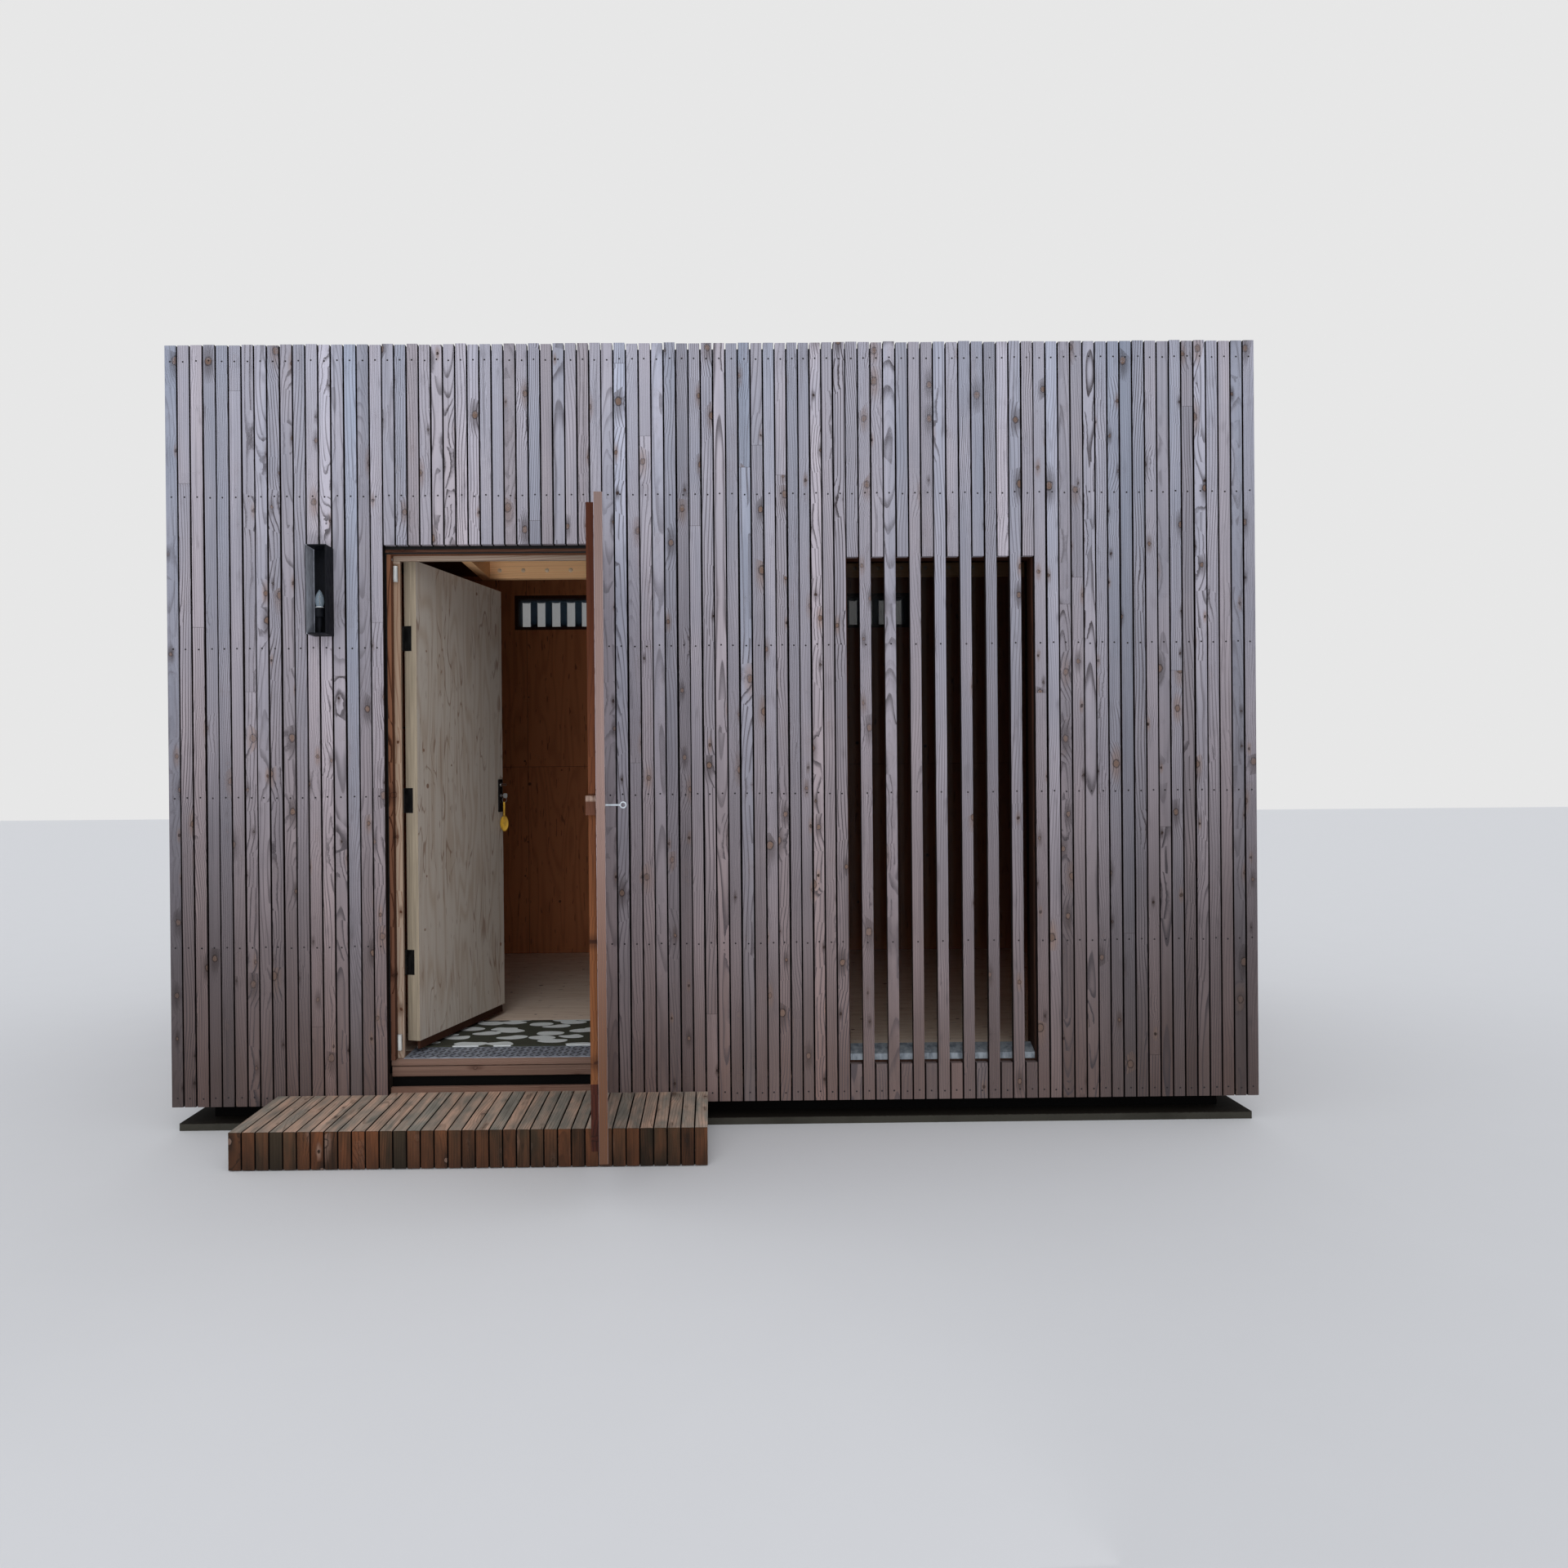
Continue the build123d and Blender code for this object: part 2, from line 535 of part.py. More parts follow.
# Front and rear windows
def windows():
    near = FRONT + BATTEN_THICK
    save("window_frame", ring_frame(HOLE_LEFT, HOLE_RIGHT, near, near + WINDOW_FRAME_DEPTH,
                                    CASSETTE_TOP, HOLE_HEAD, FRAME_BOARD))
    pane_y = near + GLASS_SETBACK
    save("window_glass", block(HOLE_LEFT + FRAME_BOARD, HOLE_RIGHT - FRAME_BOARD,
                               pane_y, pane_y + GLASS_THICK,
                               CASSETTE_TOP + FRAME_BOARD, HOLE_HEAD - FRAME_BOARD))
    sill_z = CASSETTE_TOP + FRAME_BOARD
    fall = [(near, sill_z), (pane_y, sill_z), (pane_y, WINDOW_FOOT + FLASHING_FALL),
            (near, WINDOW_FOOT)]
    profile = Plane.YZ * make_face(Polyline(*fall, close=True))
    width = HOLE_RIGHT - HOLE_LEFT - 2 * FRAME_BOARD
    flashing = Pos((HOLE_LEFT + HOLE_RIGHT - width) / 2, 0, 0) * extrude(profile, width)
    save("window_flashing", flashing)
    save("rear_window_frame", ring_frame(-STRIP_HOLE, STRIP_HOLE, REAR - ROOM, REAR - WALL_OUT,
                                         STRIP_LOW - FRAME_BOARD, STRIP_HIGH + FRAME_BOARD,
                                         FRAME_BOARD))
    pane_y = REAR - BATTEN_THICK - GLASS_SETBACK
    save("rear_window_glass", block(-STRIP_HALF, STRIP_HALF, pane_y - GLASS_THICK, pane_y,
                                    STRIP_LOW, STRIP_HIGH))
    space = BATTEN_PITCH + BATTEN_GAP
    pitch = (2 * STRIP_HALF - space) / STRIP_SLATS
    width = pitch - space
    slats = []
    for index in range(STRIP_SLATS):
        x0 = -STRIP_HALF + space + index * pitch
        slats.append(block(x0, x0 + width, REAR - BATTEN_THICK, REAR, STRIP_LOW, STRIP_HIGH))
    save("rear_window_slats", *slats)


# Step: joist box, deck with a tongue into the doorway, and the front fascia
def step():
    front = FRONT - STEP_DEPTH
    back = front + DECK_THICK
    deck_low = STEP_TOP - DECK_THICK
    save("step_joists", block(STEP_LEFT + JOIST_INSET, STEP_RIGHT - JOIST_INSET,
                              back, FRONT, 0, deck_low))
    deck = block(STEP_LEFT, STEP_RIGHT, back, FRONT, deck_low, STEP_TOP)
    deck += block(DOOR_LEFT + TONGUE_SIDE, DOOR_RIGHT - TONGUE_SIDE, FRONT,
                  FRONT + DECK_TONGUE, deck_low, STEP_TOP)
    save("step_deck", deck)
    save("step_fascia", block(STEP_LEFT, STEP_RIGHT, front, back, FASCIA_LIFT, STEP_TOP))


# Wall light: an open-fronted box with a lamp holder and bulb
def wall_light():
    x, y = DOOR_LEFT - LAMP_OFFSET, FRONT - LAMP_DEPTH / 2
    x0, x1 = x - LAMP_WIDTH / 2, x + LAMP_WIDTH / 2
    y0 = FRONT - LAMP_DEPTH
    top = DOOR_HEAD - LAMP_DROP
    low = top - LAMP_HEIGHT
    box = block(x0, x1, y0, FRONT, low, top)
    box -= block(x0 + LAMP_SHEET, x1 - LAMP_SHEET, y0, FRONT - LAMP_SHEET,
                 low + LAMP_SHEET, top - LAMP_SHEET)
    stem_z = low + LAMP_SHEET
    holder_z = stem_z + STEM_HEIGHT
    bulb_z = holder_z + HOLDER_HEIGHT
    box += rod(x, y, stem_z, STEM_RADIUS, STEM_HEIGHT)
    box += rod(x, y, holder_z, HOLDER_RADIUS, HOLDER_HEIGHT)
    save("wall_light_box", box)
    outline = [(0, 0), (BULB_NECK, 0), (BULB_RADIUS, BULB_HEIGHT / 3),
               (BULB_RADIUS, BULB_HEIGHT / 2), (BULB_NECK / 2, BULB_HEIGHT), (0, BULB_HEIGHT)]
    profile = Plane.XZ * make_face(Polyline(*outline, close=True))
    save("wall_light_bulb", Pos(x, y, bulb_z) * revolve(profile, Axis.Z))


def main():
    os.makedirs("parts", exist_ok=True)
    base()
    walls()
    linings()
    cladding()
    roof()
    ceiling_timbers()
    door_frame()
    fixed_hinges()
    outer_leaf()
    inner_leaf()
    windows()
    step()
    wall_light()


main()
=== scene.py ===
"""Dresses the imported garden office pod: battens, boards, doors, windows, step, light and finishes."""

import logging
import math
import random
from collections.abc import Callable, Iterable, Sequence
from dataclasses import dataclass, field
from enum import Enum

import bpy
from mathutils import Matrix, Vector


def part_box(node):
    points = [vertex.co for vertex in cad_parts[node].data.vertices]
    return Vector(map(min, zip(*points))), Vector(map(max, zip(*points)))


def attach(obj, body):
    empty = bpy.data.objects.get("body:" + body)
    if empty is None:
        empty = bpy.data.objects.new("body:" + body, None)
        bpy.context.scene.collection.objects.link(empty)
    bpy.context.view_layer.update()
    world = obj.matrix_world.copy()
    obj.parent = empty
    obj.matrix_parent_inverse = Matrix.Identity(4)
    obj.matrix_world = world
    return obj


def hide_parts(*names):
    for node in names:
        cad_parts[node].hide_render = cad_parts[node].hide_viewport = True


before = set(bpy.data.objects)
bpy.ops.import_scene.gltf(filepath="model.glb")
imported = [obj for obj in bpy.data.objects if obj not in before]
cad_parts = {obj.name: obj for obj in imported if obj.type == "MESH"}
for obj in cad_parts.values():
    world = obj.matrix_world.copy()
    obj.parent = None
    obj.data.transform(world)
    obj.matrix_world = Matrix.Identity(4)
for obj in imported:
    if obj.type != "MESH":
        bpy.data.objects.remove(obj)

log = logging.getLogger("pod")

Piece = bpy.types.Object
Material = bpy.types.Material
Point = tuple[float, float, float]
Tint = tuple[int, int, int]
Profile = tuple[tuple[float, float], ...]

MM = 0.001
FAR = 90.0  # metres beyond the pod, for a bound that nothing reaches
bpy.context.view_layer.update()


class Axis(Enum):
    """A direction of the shared frame, by its place in a point."""

    X = 0
    Y = 1
    Z = 2


class Body(Enum):
    """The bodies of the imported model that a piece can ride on."""

    POD = "pod"
    OUTER = "outer_door"
    INNER = "inner_door"


class Pick(Enum):
    """What a move in edit mode selects."""

    EDGE = "EDGE"
    FACE = "FACE"


class Edge(Enum):
    """The long edge of a board that is unlike its others: which side it is on, and its value of "rim"."""

    NONE = (0, 1.0)
    LOW_WEATHERED = (-1, 0.0)
    HIGH_WEATHERED = (1, 0.0)
    LOW_SAWN = (-1, 2.0)


@dataclass(frozen=True)
class Swing:
    """How a leaf that is made closed hangs open."""

    hinge: Point
    degrees: float

    def turn(self) -> Matrix:
        """The turn from closed to open."""
        there = Matrix.Translation(self.hinge)
        return there @ Matrix.Rotation(math.radians(self.degrees), 4, "Z") @ there.inverted()


OUTER_SWING = Swing((-0.448, -1.536, 0.0), 96.0)
INNER_SWING = Swing((-1.2965, -1.371, 0.0), 75.0)


def linear(colour: Tint) -> Point:
    """Turns a colour as it looks on a screen into shader values, by the sRGB curve.

    Args:
        colour: Its red, green and blue, 0 to 255.

    Returns:
        The three linear values.
    """
    shares = (part / 255 for part in colour)
    return tuple(share / 12.92 if share <= 0.04045 else ((share + 0.055) / 1.055) ** 2.4 for share in shares)


# Shader sums


class Wire:
    """A shader socket that can stand in a sum written in Python."""

    def __init__(self, bench: "ShaderBench", socket: bpy.types.NodeSocket) -> None:
        """Keeps the socket and the bench whose tree it is in."""
        self.bench = bench
        self.socket = socket

    def math(self, operation: str, *values: "Wire | float") -> "Wire":
        """Adds one Math node.

        Args:
            operation: The Math node's operation.
            values: Its inputs, in their order.

        Returns:
            The result.
        """
        return self.bench.node("ShaderNodeMath", {"operation": operation}, dict(enumerate(values)))

    def __add__(self, other: "Wire | float") -> "Wire":
        """Sum."""
        return self.math("ADD", self, other)

    __radd__ = __add__

    def __mul__(self, other: "Wire | float") -> "Wire":
        """Product, with no node for a factor of 1."""
        return self if other == 1 else self.math("MULTIPLY", self, other)

    __rmul__ = __mul__

    def __sub__(self, other: "Wire | float") -> "Wire":
        """Difference."""
        return self.math("SUBTRACT", self, other)

    def __rsub__(self, other: float) -> "Wire":
        """Difference, the other way round."""
        return self.math("SUBTRACT", other, self)

    def __truediv__(self, other: "Wire | float") -> "Wire":
        """Quotient."""
        return self.math("DIVIDE", self, other)

    def __pow__(self, other: float) -> "Wire":
        """Power."""
        return self.math("POWER", self, other)

    def __gt__(self, other: "Wire | float") -> "Wire":
        """1 where this is more than the other, else 0."""
        return self.math("GREATER_THAN", self, other)

    def sine(self) -> "Wire":
        """Sine, in radians."""
        return self.math("SINE", self)

    def floor(self) -> "Wire":
        """The whole number below."""
        return self.math("FLOOR", self)

    def fraction(self) -> "Wire":
        """What is left over the whole number."""
        return self.math("FRACT", self)

    def size(self) -> "Wire":
        """Without its sign."""
        return self.math("ABSOLUTE", self)

    def rise(self, low: float, high: float) -> "Wire":
        """Goes smoothly from 0 at low to 1 at high, where low may be the greater.

        Args:
            low: Where it is 0.
            high: Where it is 1.

        Returns:
            The smooth step.
        """
        return self.bench.node("ShaderNodeMapRange", {"interpolation_type": "SMOOTHSTEP"},
                               {"Value": self, "From Min": low, "From Max": high})

    def held(self) -> "Wire":
        """Kept between 0 and 1."""
        return self.bench.node("ShaderNodeClamp", {}, {"Value": self})


class ShaderBench:
    """One material's node tree while it is being wired up."""

    def __init__(self, name: str) -> None:
        """Starts an empty node tree.

        Args:
            name: The material's name.
        """
        self.material = bpy.data.materials.new(name)
        self.material.use_nodes = True
        self.tree = self.material.node_tree
        self.tree.nodes.clear()
        self.output = self.tree.nodes.new("ShaderNodeOutputMaterial")

    def node(self, kind: str, settings: dict | None = None, values: dict | None = None,
             out: int | str = 0) -> Wire:
        """Adds any node, with its settings set before its sockets.

        Args:
            kind: The node's type.
            settings: Properties of the node.
            values: Values or wires for its sockets, by name or number.
            out: The output that is wanted.

        Returns:
            That output.
        """
        made = self.tree.nodes.new(kind)
        for key, value in (settings or {}).items():
            setattr(made, key, value)
        for key, value in (values or {}).items():
            socket = made.inputs[key]
            if isinstance(value, Wire):
                self.tree.links.new(value.socket, socket)
            elif socket.type == "RGBA" and len(value) == 3:
                socket.default_value = (*value, 1.0)
            else:
                socket.default_value = value
        return Wire(self, made.outputs[out])

    def other(self, wire: Wire, out: int | str) -> Wire:
        """Another output of the node that a wire comes from."""
        return Wire(self, wire.socket.node.outputs[out])

    def place(self, swing: Swing | None = None) -> Wire:
        """The point of the object that is shaded.

        Args:
            swing: How the leaf hangs open, which the pattern is turned back by.

        Returns:
            The place as a vector.
        """
        here = self.node("ShaderNodeTexCoord", out="Object")
        if swing is None:
            return here
        return self.node("ShaderNodeVectorRotate", {"rotation_type": "Z_AXIS"},
                         {"Vector": here, "Center": swing.hinge, "Angle": -math.radians(swing.degrees)})

    def parts(self, vector: Wire) -> tuple[Wire, Wire, Wire]:
        """The three numbers of a vector."""
        split = self.node("ShaderNodeSeparateXYZ", {}, {"Vector": vector})
        return split, self.other(split, 1), self.other(split, 2)

    def vector(self, x: Wire | float, y: Wire | float, z: Wire | float) -> Wire:
        """A vector of three numbers."""
        return self.node("ShaderNodeCombineXYZ", {}, {0: x, 1: y, 2: z})

    def noise(self, vector: Wire, scale: float = 1.0, detail: float = 2.0,
              rough: float = 0.5, swirl: float = 0.0) -> Wire:
        """Cloudy noise from 0 to 1 about a half.

        Args:
            vector: Where it is read.
            scale: How many features there are to a metre.
            detail: How many finer layers it has.
            rough: How strong these are.
            swirl: How far it is distorted.

        Returns:
            The noise.
        """
        return self.node("ShaderNodeTexNoise", {"noise_dimensions": "3D"},
                         {"Vector": vector, "Scale": scale, "Detail": detail,
                          "Roughness": rough, "Distortion": swirl})

    def mark(self, name: str) -> Wire:
        """A vector that is stored on the mesh."""
        return self.node("ShaderNodeAttribute", {"attribute_name": name}, out="Vector")

    def cells(self, vector: Wire, scale: float, scatter: float = 1.0) -> Wire:
        """How far away the nearest of many points on a plane is.

        Args:
            vector: Where it is read.
            scale: How many points there are to a metre.
            scatter: 1 for points anywhere, and less for more even ones.

        Returns:
            The distance. The node's Color holds three numbers of the point, and its Position the place.
        """
        return self.node("ShaderNodeTexVoronoi", {"voronoi_dimensions": "2D"},
                         {"Vector": vector, "Scale": scale, "Randomness": scatter})

    def chance(self, value: Wire) -> Wire:
        """A number from 0 to 1 that is the same wherever the value is the same."""
        return self.node("ShaderNodeTexWhiteNoise", {"noise_dimensions": "1D"}, {"W": value})

    @staticmethod
    def paint(colour: Wire | Tint) -> Wire | Point:
        """What a socket takes for a colour: shader values in place of a tint, or the wire itself."""
        return colour if isinstance(colour, Wire) else linear(colour)

    def blend(self, share: Wire | float, first: Wire | Tint, second: Wire | Tint) -> Wire:
        """Mixes two colours.

        Args:
            share: How much of the second there is.
            first: The first colour.
            second: The second colour.

        Returns:
            The mixed colour.
        """
        factor, one, two, result = 0, 6, 7, 2  # where a Mix node has its colour sockets
        return self.node("ShaderNodeMix", {"data_type": "RGBA"},
                         {factor: share, one: self.paint(first), two: self.paint(second)}, out=result)

    def shade(self, colour: Wire | Tint, strength: Wire | float) -> Wire:
        """A colour made lighter or darker by a factor."""
        return self.node("ShaderNodeVectorMath", {"operation": "SCALE"}, {0: self.paint(colour), 3: strength})

    def bump(self, height: Wire, depth: float, strength: float = 1.0) -> Wire:
        """A normal that makes the surface look uneven.

        Args:
            height: The height from 0 to 1.
            depth: What a height of 1 stands for, in metres.
            strength: How much of it shows.

        Returns:
            The normal.
        """
        return self.node("ShaderNodeBump", {}, {"Height": height, "Distance": depth, "Strength": strength})

    def finish(self, **sockets: "Wire | float | Tint") -> Material:
        """Closes the tree with a principled surface.

        Args:
            sockets: Its sockets, with _ for a space.

        Returns:
            The material.
        """
        values = {key.replace("_", " "): value for key, value in sockets.items()}
        values["Base Color"] = self.paint(values["Base Color"])
        surface = self.node("ShaderNodeBsdfPrincipled", {}, values)
        self.tree.links.new(surface.socket, self.output.inputs["Surface"])
        return self.material


# Finishes


@dataclass(frozen=True)
class Timber:
    """Sawn wood with growth rings, streaks, knots and weathering.

    A board's own look comes from its attributes: "board" holds a seed, a tone and a warmth, "heart" the tree's heart
    that its rings run round, and "rim" is 1 on the edges in the gaps, which get the side colour as painted shade, and
    2 on tan, freshly sawn ones. Colours go over from cool to warm by a board's warmth and in broad patches, and from
    foot to top as it rises; on the battens the darker foot is partly weathering and partly painted shade. A corner
    share paints shade into a wall's lower corners. Above level_from the grain runs level. A share says how strongly
    something shows, or how many there are.
    """

    name: str
    cool_top: Tint
    warm_top: Tint
    cool_foot: Tint
    warm_foot: Tint
    late: Tint
    knot: Tint
    flush: Tint = (130, 106, 94)
    # the colour of the edges in the gaps, dark as painted shade
    side: Tint = (25, 16, 14)
    edge_top: Tint = (124, 104, 99)
    edge_foot: Tint = (84, 56, 39)
    run: Axis = Axis.Z
    face: Axis = Axis.X
    foot: float = 0.2
    top: float = 3.0
    ring_gap: float = 8.5 * MM
    wander: float = 0.13
    ring_share: float = 1.0
    streak_share: float = 0.17
    tone_share: float = 0.2
    blotch_share: float = 0.22
    stain_share: float = 0.4
    check_share: float = 0.5
    joint_run: float = 8.0
    joint_share: float = 0.3
    knot_cell: float = 0.14
    knot_share: float = 0.5
    knot_size: float = 11 * MM
    knot_ring: float = 3.4 * MM
    knot_reach: float = 58 * MM
    knot_swell: float = 0.026
    # how much shade is painted into a wall's lower corners
    corner_share: float = 0.0
    mottle: float = 0.8
    patch: float = 1.0
    level_from: float = FAR
    relief: float = 0.9 * MM
    roughness: float = 0.82
    swing: Swing | None = None

    def make(self) -> Material:
        """Wires up the material.

        Returns:
            The material.
        """
        b = ShaderBench(self.name)
        whole = b.parts(b.place(self.swing))
        other = 3 - self.run.value - self.face.value
        along, across, deep = whole[self.run.value], whole[self.face.value], whole[other]
        if self.level_from < FAR:
            level = whole[2] > self.level_from
            shift = (across - along) * level
            along, across = along + shift, across - shift
        seed, tone, warmth = b.parts(b.mark("board"))
        heart = b.parts(b.mark("heart"))
        length = along / self.joint_run + b.chance(seed)
        joint = (length.fraction() * self.joint_run).rise(2.2 * MM, 0.8 * MM)
        part = b.chance(length.floor() + seed * 31)
        seed = seed + part * 17

        spot = b.vector(across + seed * 3.17, along + seed * 7.31, 0.0)
        near = b.cells(spot, 1 / self.knot_cell)
        pick, girth, lean = b.parts(b.other(near, "Color"))
        away = b.parts(b.node("ShaderNodeVectorMath", {"operation": "SUBTRACT"},
                              {0: spot, 1: b.other(near, "Position")}))
        wobble = b.noise(b.vector(across * 90 + seed, deep * 90, along * 70), detail=1.0)

        def grain(wide: float, long: float, aside: float = 1, ahead: float = 1, detail: float = 1.0,
                  rough: float = 0.5, patch: float = 1.0) -> Wire:
            """Noise that is drawn out along the board, and shifted by its seed.

            Args:
                wide: How many features there are to a metre across the board.
                long: How many there are along it.
                aside: How far the seed shifts it across.
                ahead: How far the seed shifts it along.
                detail: How many finer layers it has.
                rough: How strong these are.
                patch: A factor on both counts.

            Returns:
                The noise.
            """
            return b.noise(b.vector(across * (wide * patch) + seed * aside, deep * wide,
                                    along * (long * patch) + seed * ahead), detail=detail, rough=rough)

        offset = away[0] + (wobble - 0.5) * 0.008, away[1] + (wobble - 0.5) * 0.006
        chosen = pick > 1 - self.knot_share
        radius = (girth * girth * 0.7 + 0.3) * self.knot_size
        span = (offset[0] * offset[0] + offset[1] * offset[1] * 0.55) ** 0.5
        reach = (offset[0] * offset[0] + offset[1] * offset[1] * 0.11) ** 0.5
        ratio = span / radius
        core = ratio.rise(1.1, 0.9) * chosen
        shell = ratio.rise(1.6, 1.15) * chosen - core
        halo = (reach / radius).rise(3.4, 0.8) * chosen
        swell = (reach / self.knot_reach).rise(1.0, 0.0) * chosen * (girth * 0.8 + 0.2)

        bow = grain(3, 0.9, ahead=3)
        waver = grain(24, 5)
        u, v = across - heart[self.face.value], deep - heart[other]
        girdle = (u * u + v * v) ** 0.5 + (bow - 0.5) * self.wander + (waver - 0.5) * 0.007 + swell * self.knot_swell
        ring = (girdle / ((b.chance(seed * 1.7) * 0.9 + 0.6) * self.ring_gap)).fraction()
        late = ring.rise(0.56, 0.9) * ring.rise(1.0, 0.95)
        fine = grain(320, 4, detail=3.0, rough=0.6)
        streak = grain(110, 1.4, aside=5, detail=1.5)
        broad = grain(9, 2.2, aside=2, ahead=3, detail=2.0, patch=self.patch)
        stain = grain(30, 8, aside=6, detail=2.0).rise(0.58, 0.78)
        checks = grain(170, 1.3, aside=4).rise(0.66, 0.74)

        # Colours go from foot to top with height; on the battens the darker foot is partly weathering and partly
        # painted shade.
        height = along if self.run is Axis.Z else whole[2]
        lift = ((height - self.foot) / (self.top - self.foot) + broad * 0.24 - 0.12).held()
        warm = (warmth * 0.36 + 0.5 + (broad - 0.5) * self.mottle).held()
        foot = b.blend(warm, self.cool_foot, self.warm_foot)
        body = b.blend(lift, foot, b.blend(warm, self.cool_top, self.warm_top))
        depth = (b.chance(seed * 2.3) * 0.75 + 0.4) * (broad * 1.3 + swell * 0.7 + 0.15).held()
        light = (1 + tone * self.tone_share + (fine - 0.5) * 0.3 + (streak - 0.5) * (2 * self.streak_share)
                 + (part - 0.5) * self.joint_share + (broad - 0.5) * self.blotch_share)
        ruddy = lean.rise(0.5, 0.65)
        body = b.shade(b.blend(halo * 0.6, body, b.blend(ruddy, self.knot, self.flush)), light)
        body = b.blend((late * depth * self.ring_share + stain * self.stain_share * part).held(), body, self.late)
        body = b.blend(checks * self.check_share, body, self.late)
        rounds = (span * (2 * math.pi / self.knot_ring)).sine() * 0.5 + 0.5
        body = b.blend(core, body, b.blend((rounds * 0.6 + girth.rise(0.5, 0.3)).held(), self.flush, self.knot))
        body = b.blend((shell * 0.8 + joint * 0.7).held(), body, self.knot)
        rim = b.node("ShaderNodeAttribute", {"attribute_name": "rim"}, out="Fac")
        edge = b.shade(b.blend(height.rise(0.3, 1.7), self.edge_foot, self.edge_top), light)
        edge = b.blend(late * depth * 0.5, edge, self.late)
        # rim 1: the edges in the gaps take the side colour as painted shade; rim 2: tan sawn edges
        body = b.blend(rim.held(), body, b.blend(rim > 1.5, b.shade(self.side, fine * 0.8 + 0.6), edge))
        # Painted shade: darker towards the lower left and right corners of the wall.
        if self.corner_share:
            corner = whole[0].size().rise(0.9, 2.2) * height.rise(1.9, 0.4)
            body = b.shade(body, 1 - corner * self.corner_share)
        relief = fine * 0.5 + late * 0.4 - checks * 0.8 - shell * 0.5 - joint
        return b.finish(Base_Color=body, Roughness=(fine * 0.14 + self.roughness - 0.07).held(),
                        Normal=b.bump(relief, self.relief, 0.55), Specular_IOR_Level=0.25)


@dataclass(frozen=True)
class Plywood:
    """Rotary-cut plywood sheets with broad figure, pin flecks, knots, thin veins, a tan edge and butt joints."""

    name: str
    pale: Tint
    dark: Tint
    fleck: Tint
    run: Axis = Axis.Z
    face: Axis = Axis.X
    sheet: float = 1.22
    sheet_run: float = 2.44
    shift: float = 0.0
    shift_run: float = 0.0
    joint: float = 0.0
    lines: float = 11.0
    knots: float = 0.25
    knot_cell: float = 0.24
    vein_share: float = 0.0
    edge: Tint = (158, 146, 128)
    edge_to: float = -FAR
    gloss: float = 0.5
    relief: float = 0.4 * MM
    swing: Swing | None = None

    def make(self) -> Material:
        """Wires up the material.

        Returns:
            The material.
        """
        b = ShaderBench(self.name)
        whole = b.parts(b.place(self.swing))
        along, across = whole[self.run.value], whole[self.face.value]
        deep = whole[3 - self.run.value - self.face.value]
        column = (across - self.shift) / self.sheet
        row = (along - self.shift_run) / self.sheet_run
        sheet = b.chance(column.floor() * 7.3 + row.floor() * 3.1)
        figure = b.noise(b.vector(across * 6 + sheet * 9, deep * 6, along * 0.7 + sheet * 5), detail=2.0, swirl=0.3)
        lines = (figure * (self.lines * 2 * math.pi)).sine() * 0.5 + 0.5
        fine = b.noise(b.vector(across * 240, deep * 240, along * 5), detail=2.0)
        flecks = b.noise(b.vector(across * 95 + 4, deep * 95, along * 16), detail=0.0).rise(0.73, 0.8)
        spot = b.vector(across, along, 0.0)
        near = b.cells(spot, 1 / self.knot_cell)
        pick, girth, _ = b.parts(b.other(near, "Color"))
        far = b.node("ShaderNodeVectorMath", {"operation": "DISTANCE"},
                     {0: spot, 1: b.other(near, "Position")}, out="Value")
        knot = (far / (girth * 0.009 + 0.004)).rise(1.2, 0.7) * (pick > 1 - self.knots)
        body = b.blend((lines ** 2) * 0.5 + (fine - 0.5) * 0.5 + sheet * 0.15, self.pale, self.dark)
        body = b.blend(flecks * 0.55, body, self.fleck)
        body = b.blend(knot * 0.85, body, self.fleck)
        if self.vein_share:
            drift = b.noise(b.vector(across * 9 + 3, deep * 9, along * 1.5), detail=2.0, swirl=0.6)
            vein = ((drift * 8).fraction() - 0.5).size().rise(0.1, 0.02)
            patchy = b.noise(b.vector(across * 7 + 8, deep * 7, along * 3), detail=1.0).rise(0.42, 0.58)
            body = b.blend(vein * patchy * self.vein_share, body, self.fleck)
        if self.edge_to > -FAR:
            body = b.blend(across.rise(self.edge_to, self.edge_to - 0.5 * MM), body, b.shade(self.edge, fine + 0.5))
        if self.joint:
            edge = 0.5 - (column.fraction() - 0.5).size()
            end = 0.5 - (row.fraction() - 0.5).size()
            seam = (edge * self.sheet).rise(self.joint, 0.0) + (end * self.sheet_run).rise(self.joint, 0.0)
            body = b.blend(seam.held() * 0.75, body, self.fleck)
        relief = fine * 0.5 + lines * 0.3 - knot * 0.4
        return b.finish(Base_Color=body, Roughness=(fine * 0.15 + self.gloss).held(),
                        Normal=b.bump(relief, self.relief, 0.4), Specular_IOR_Level=0.3)


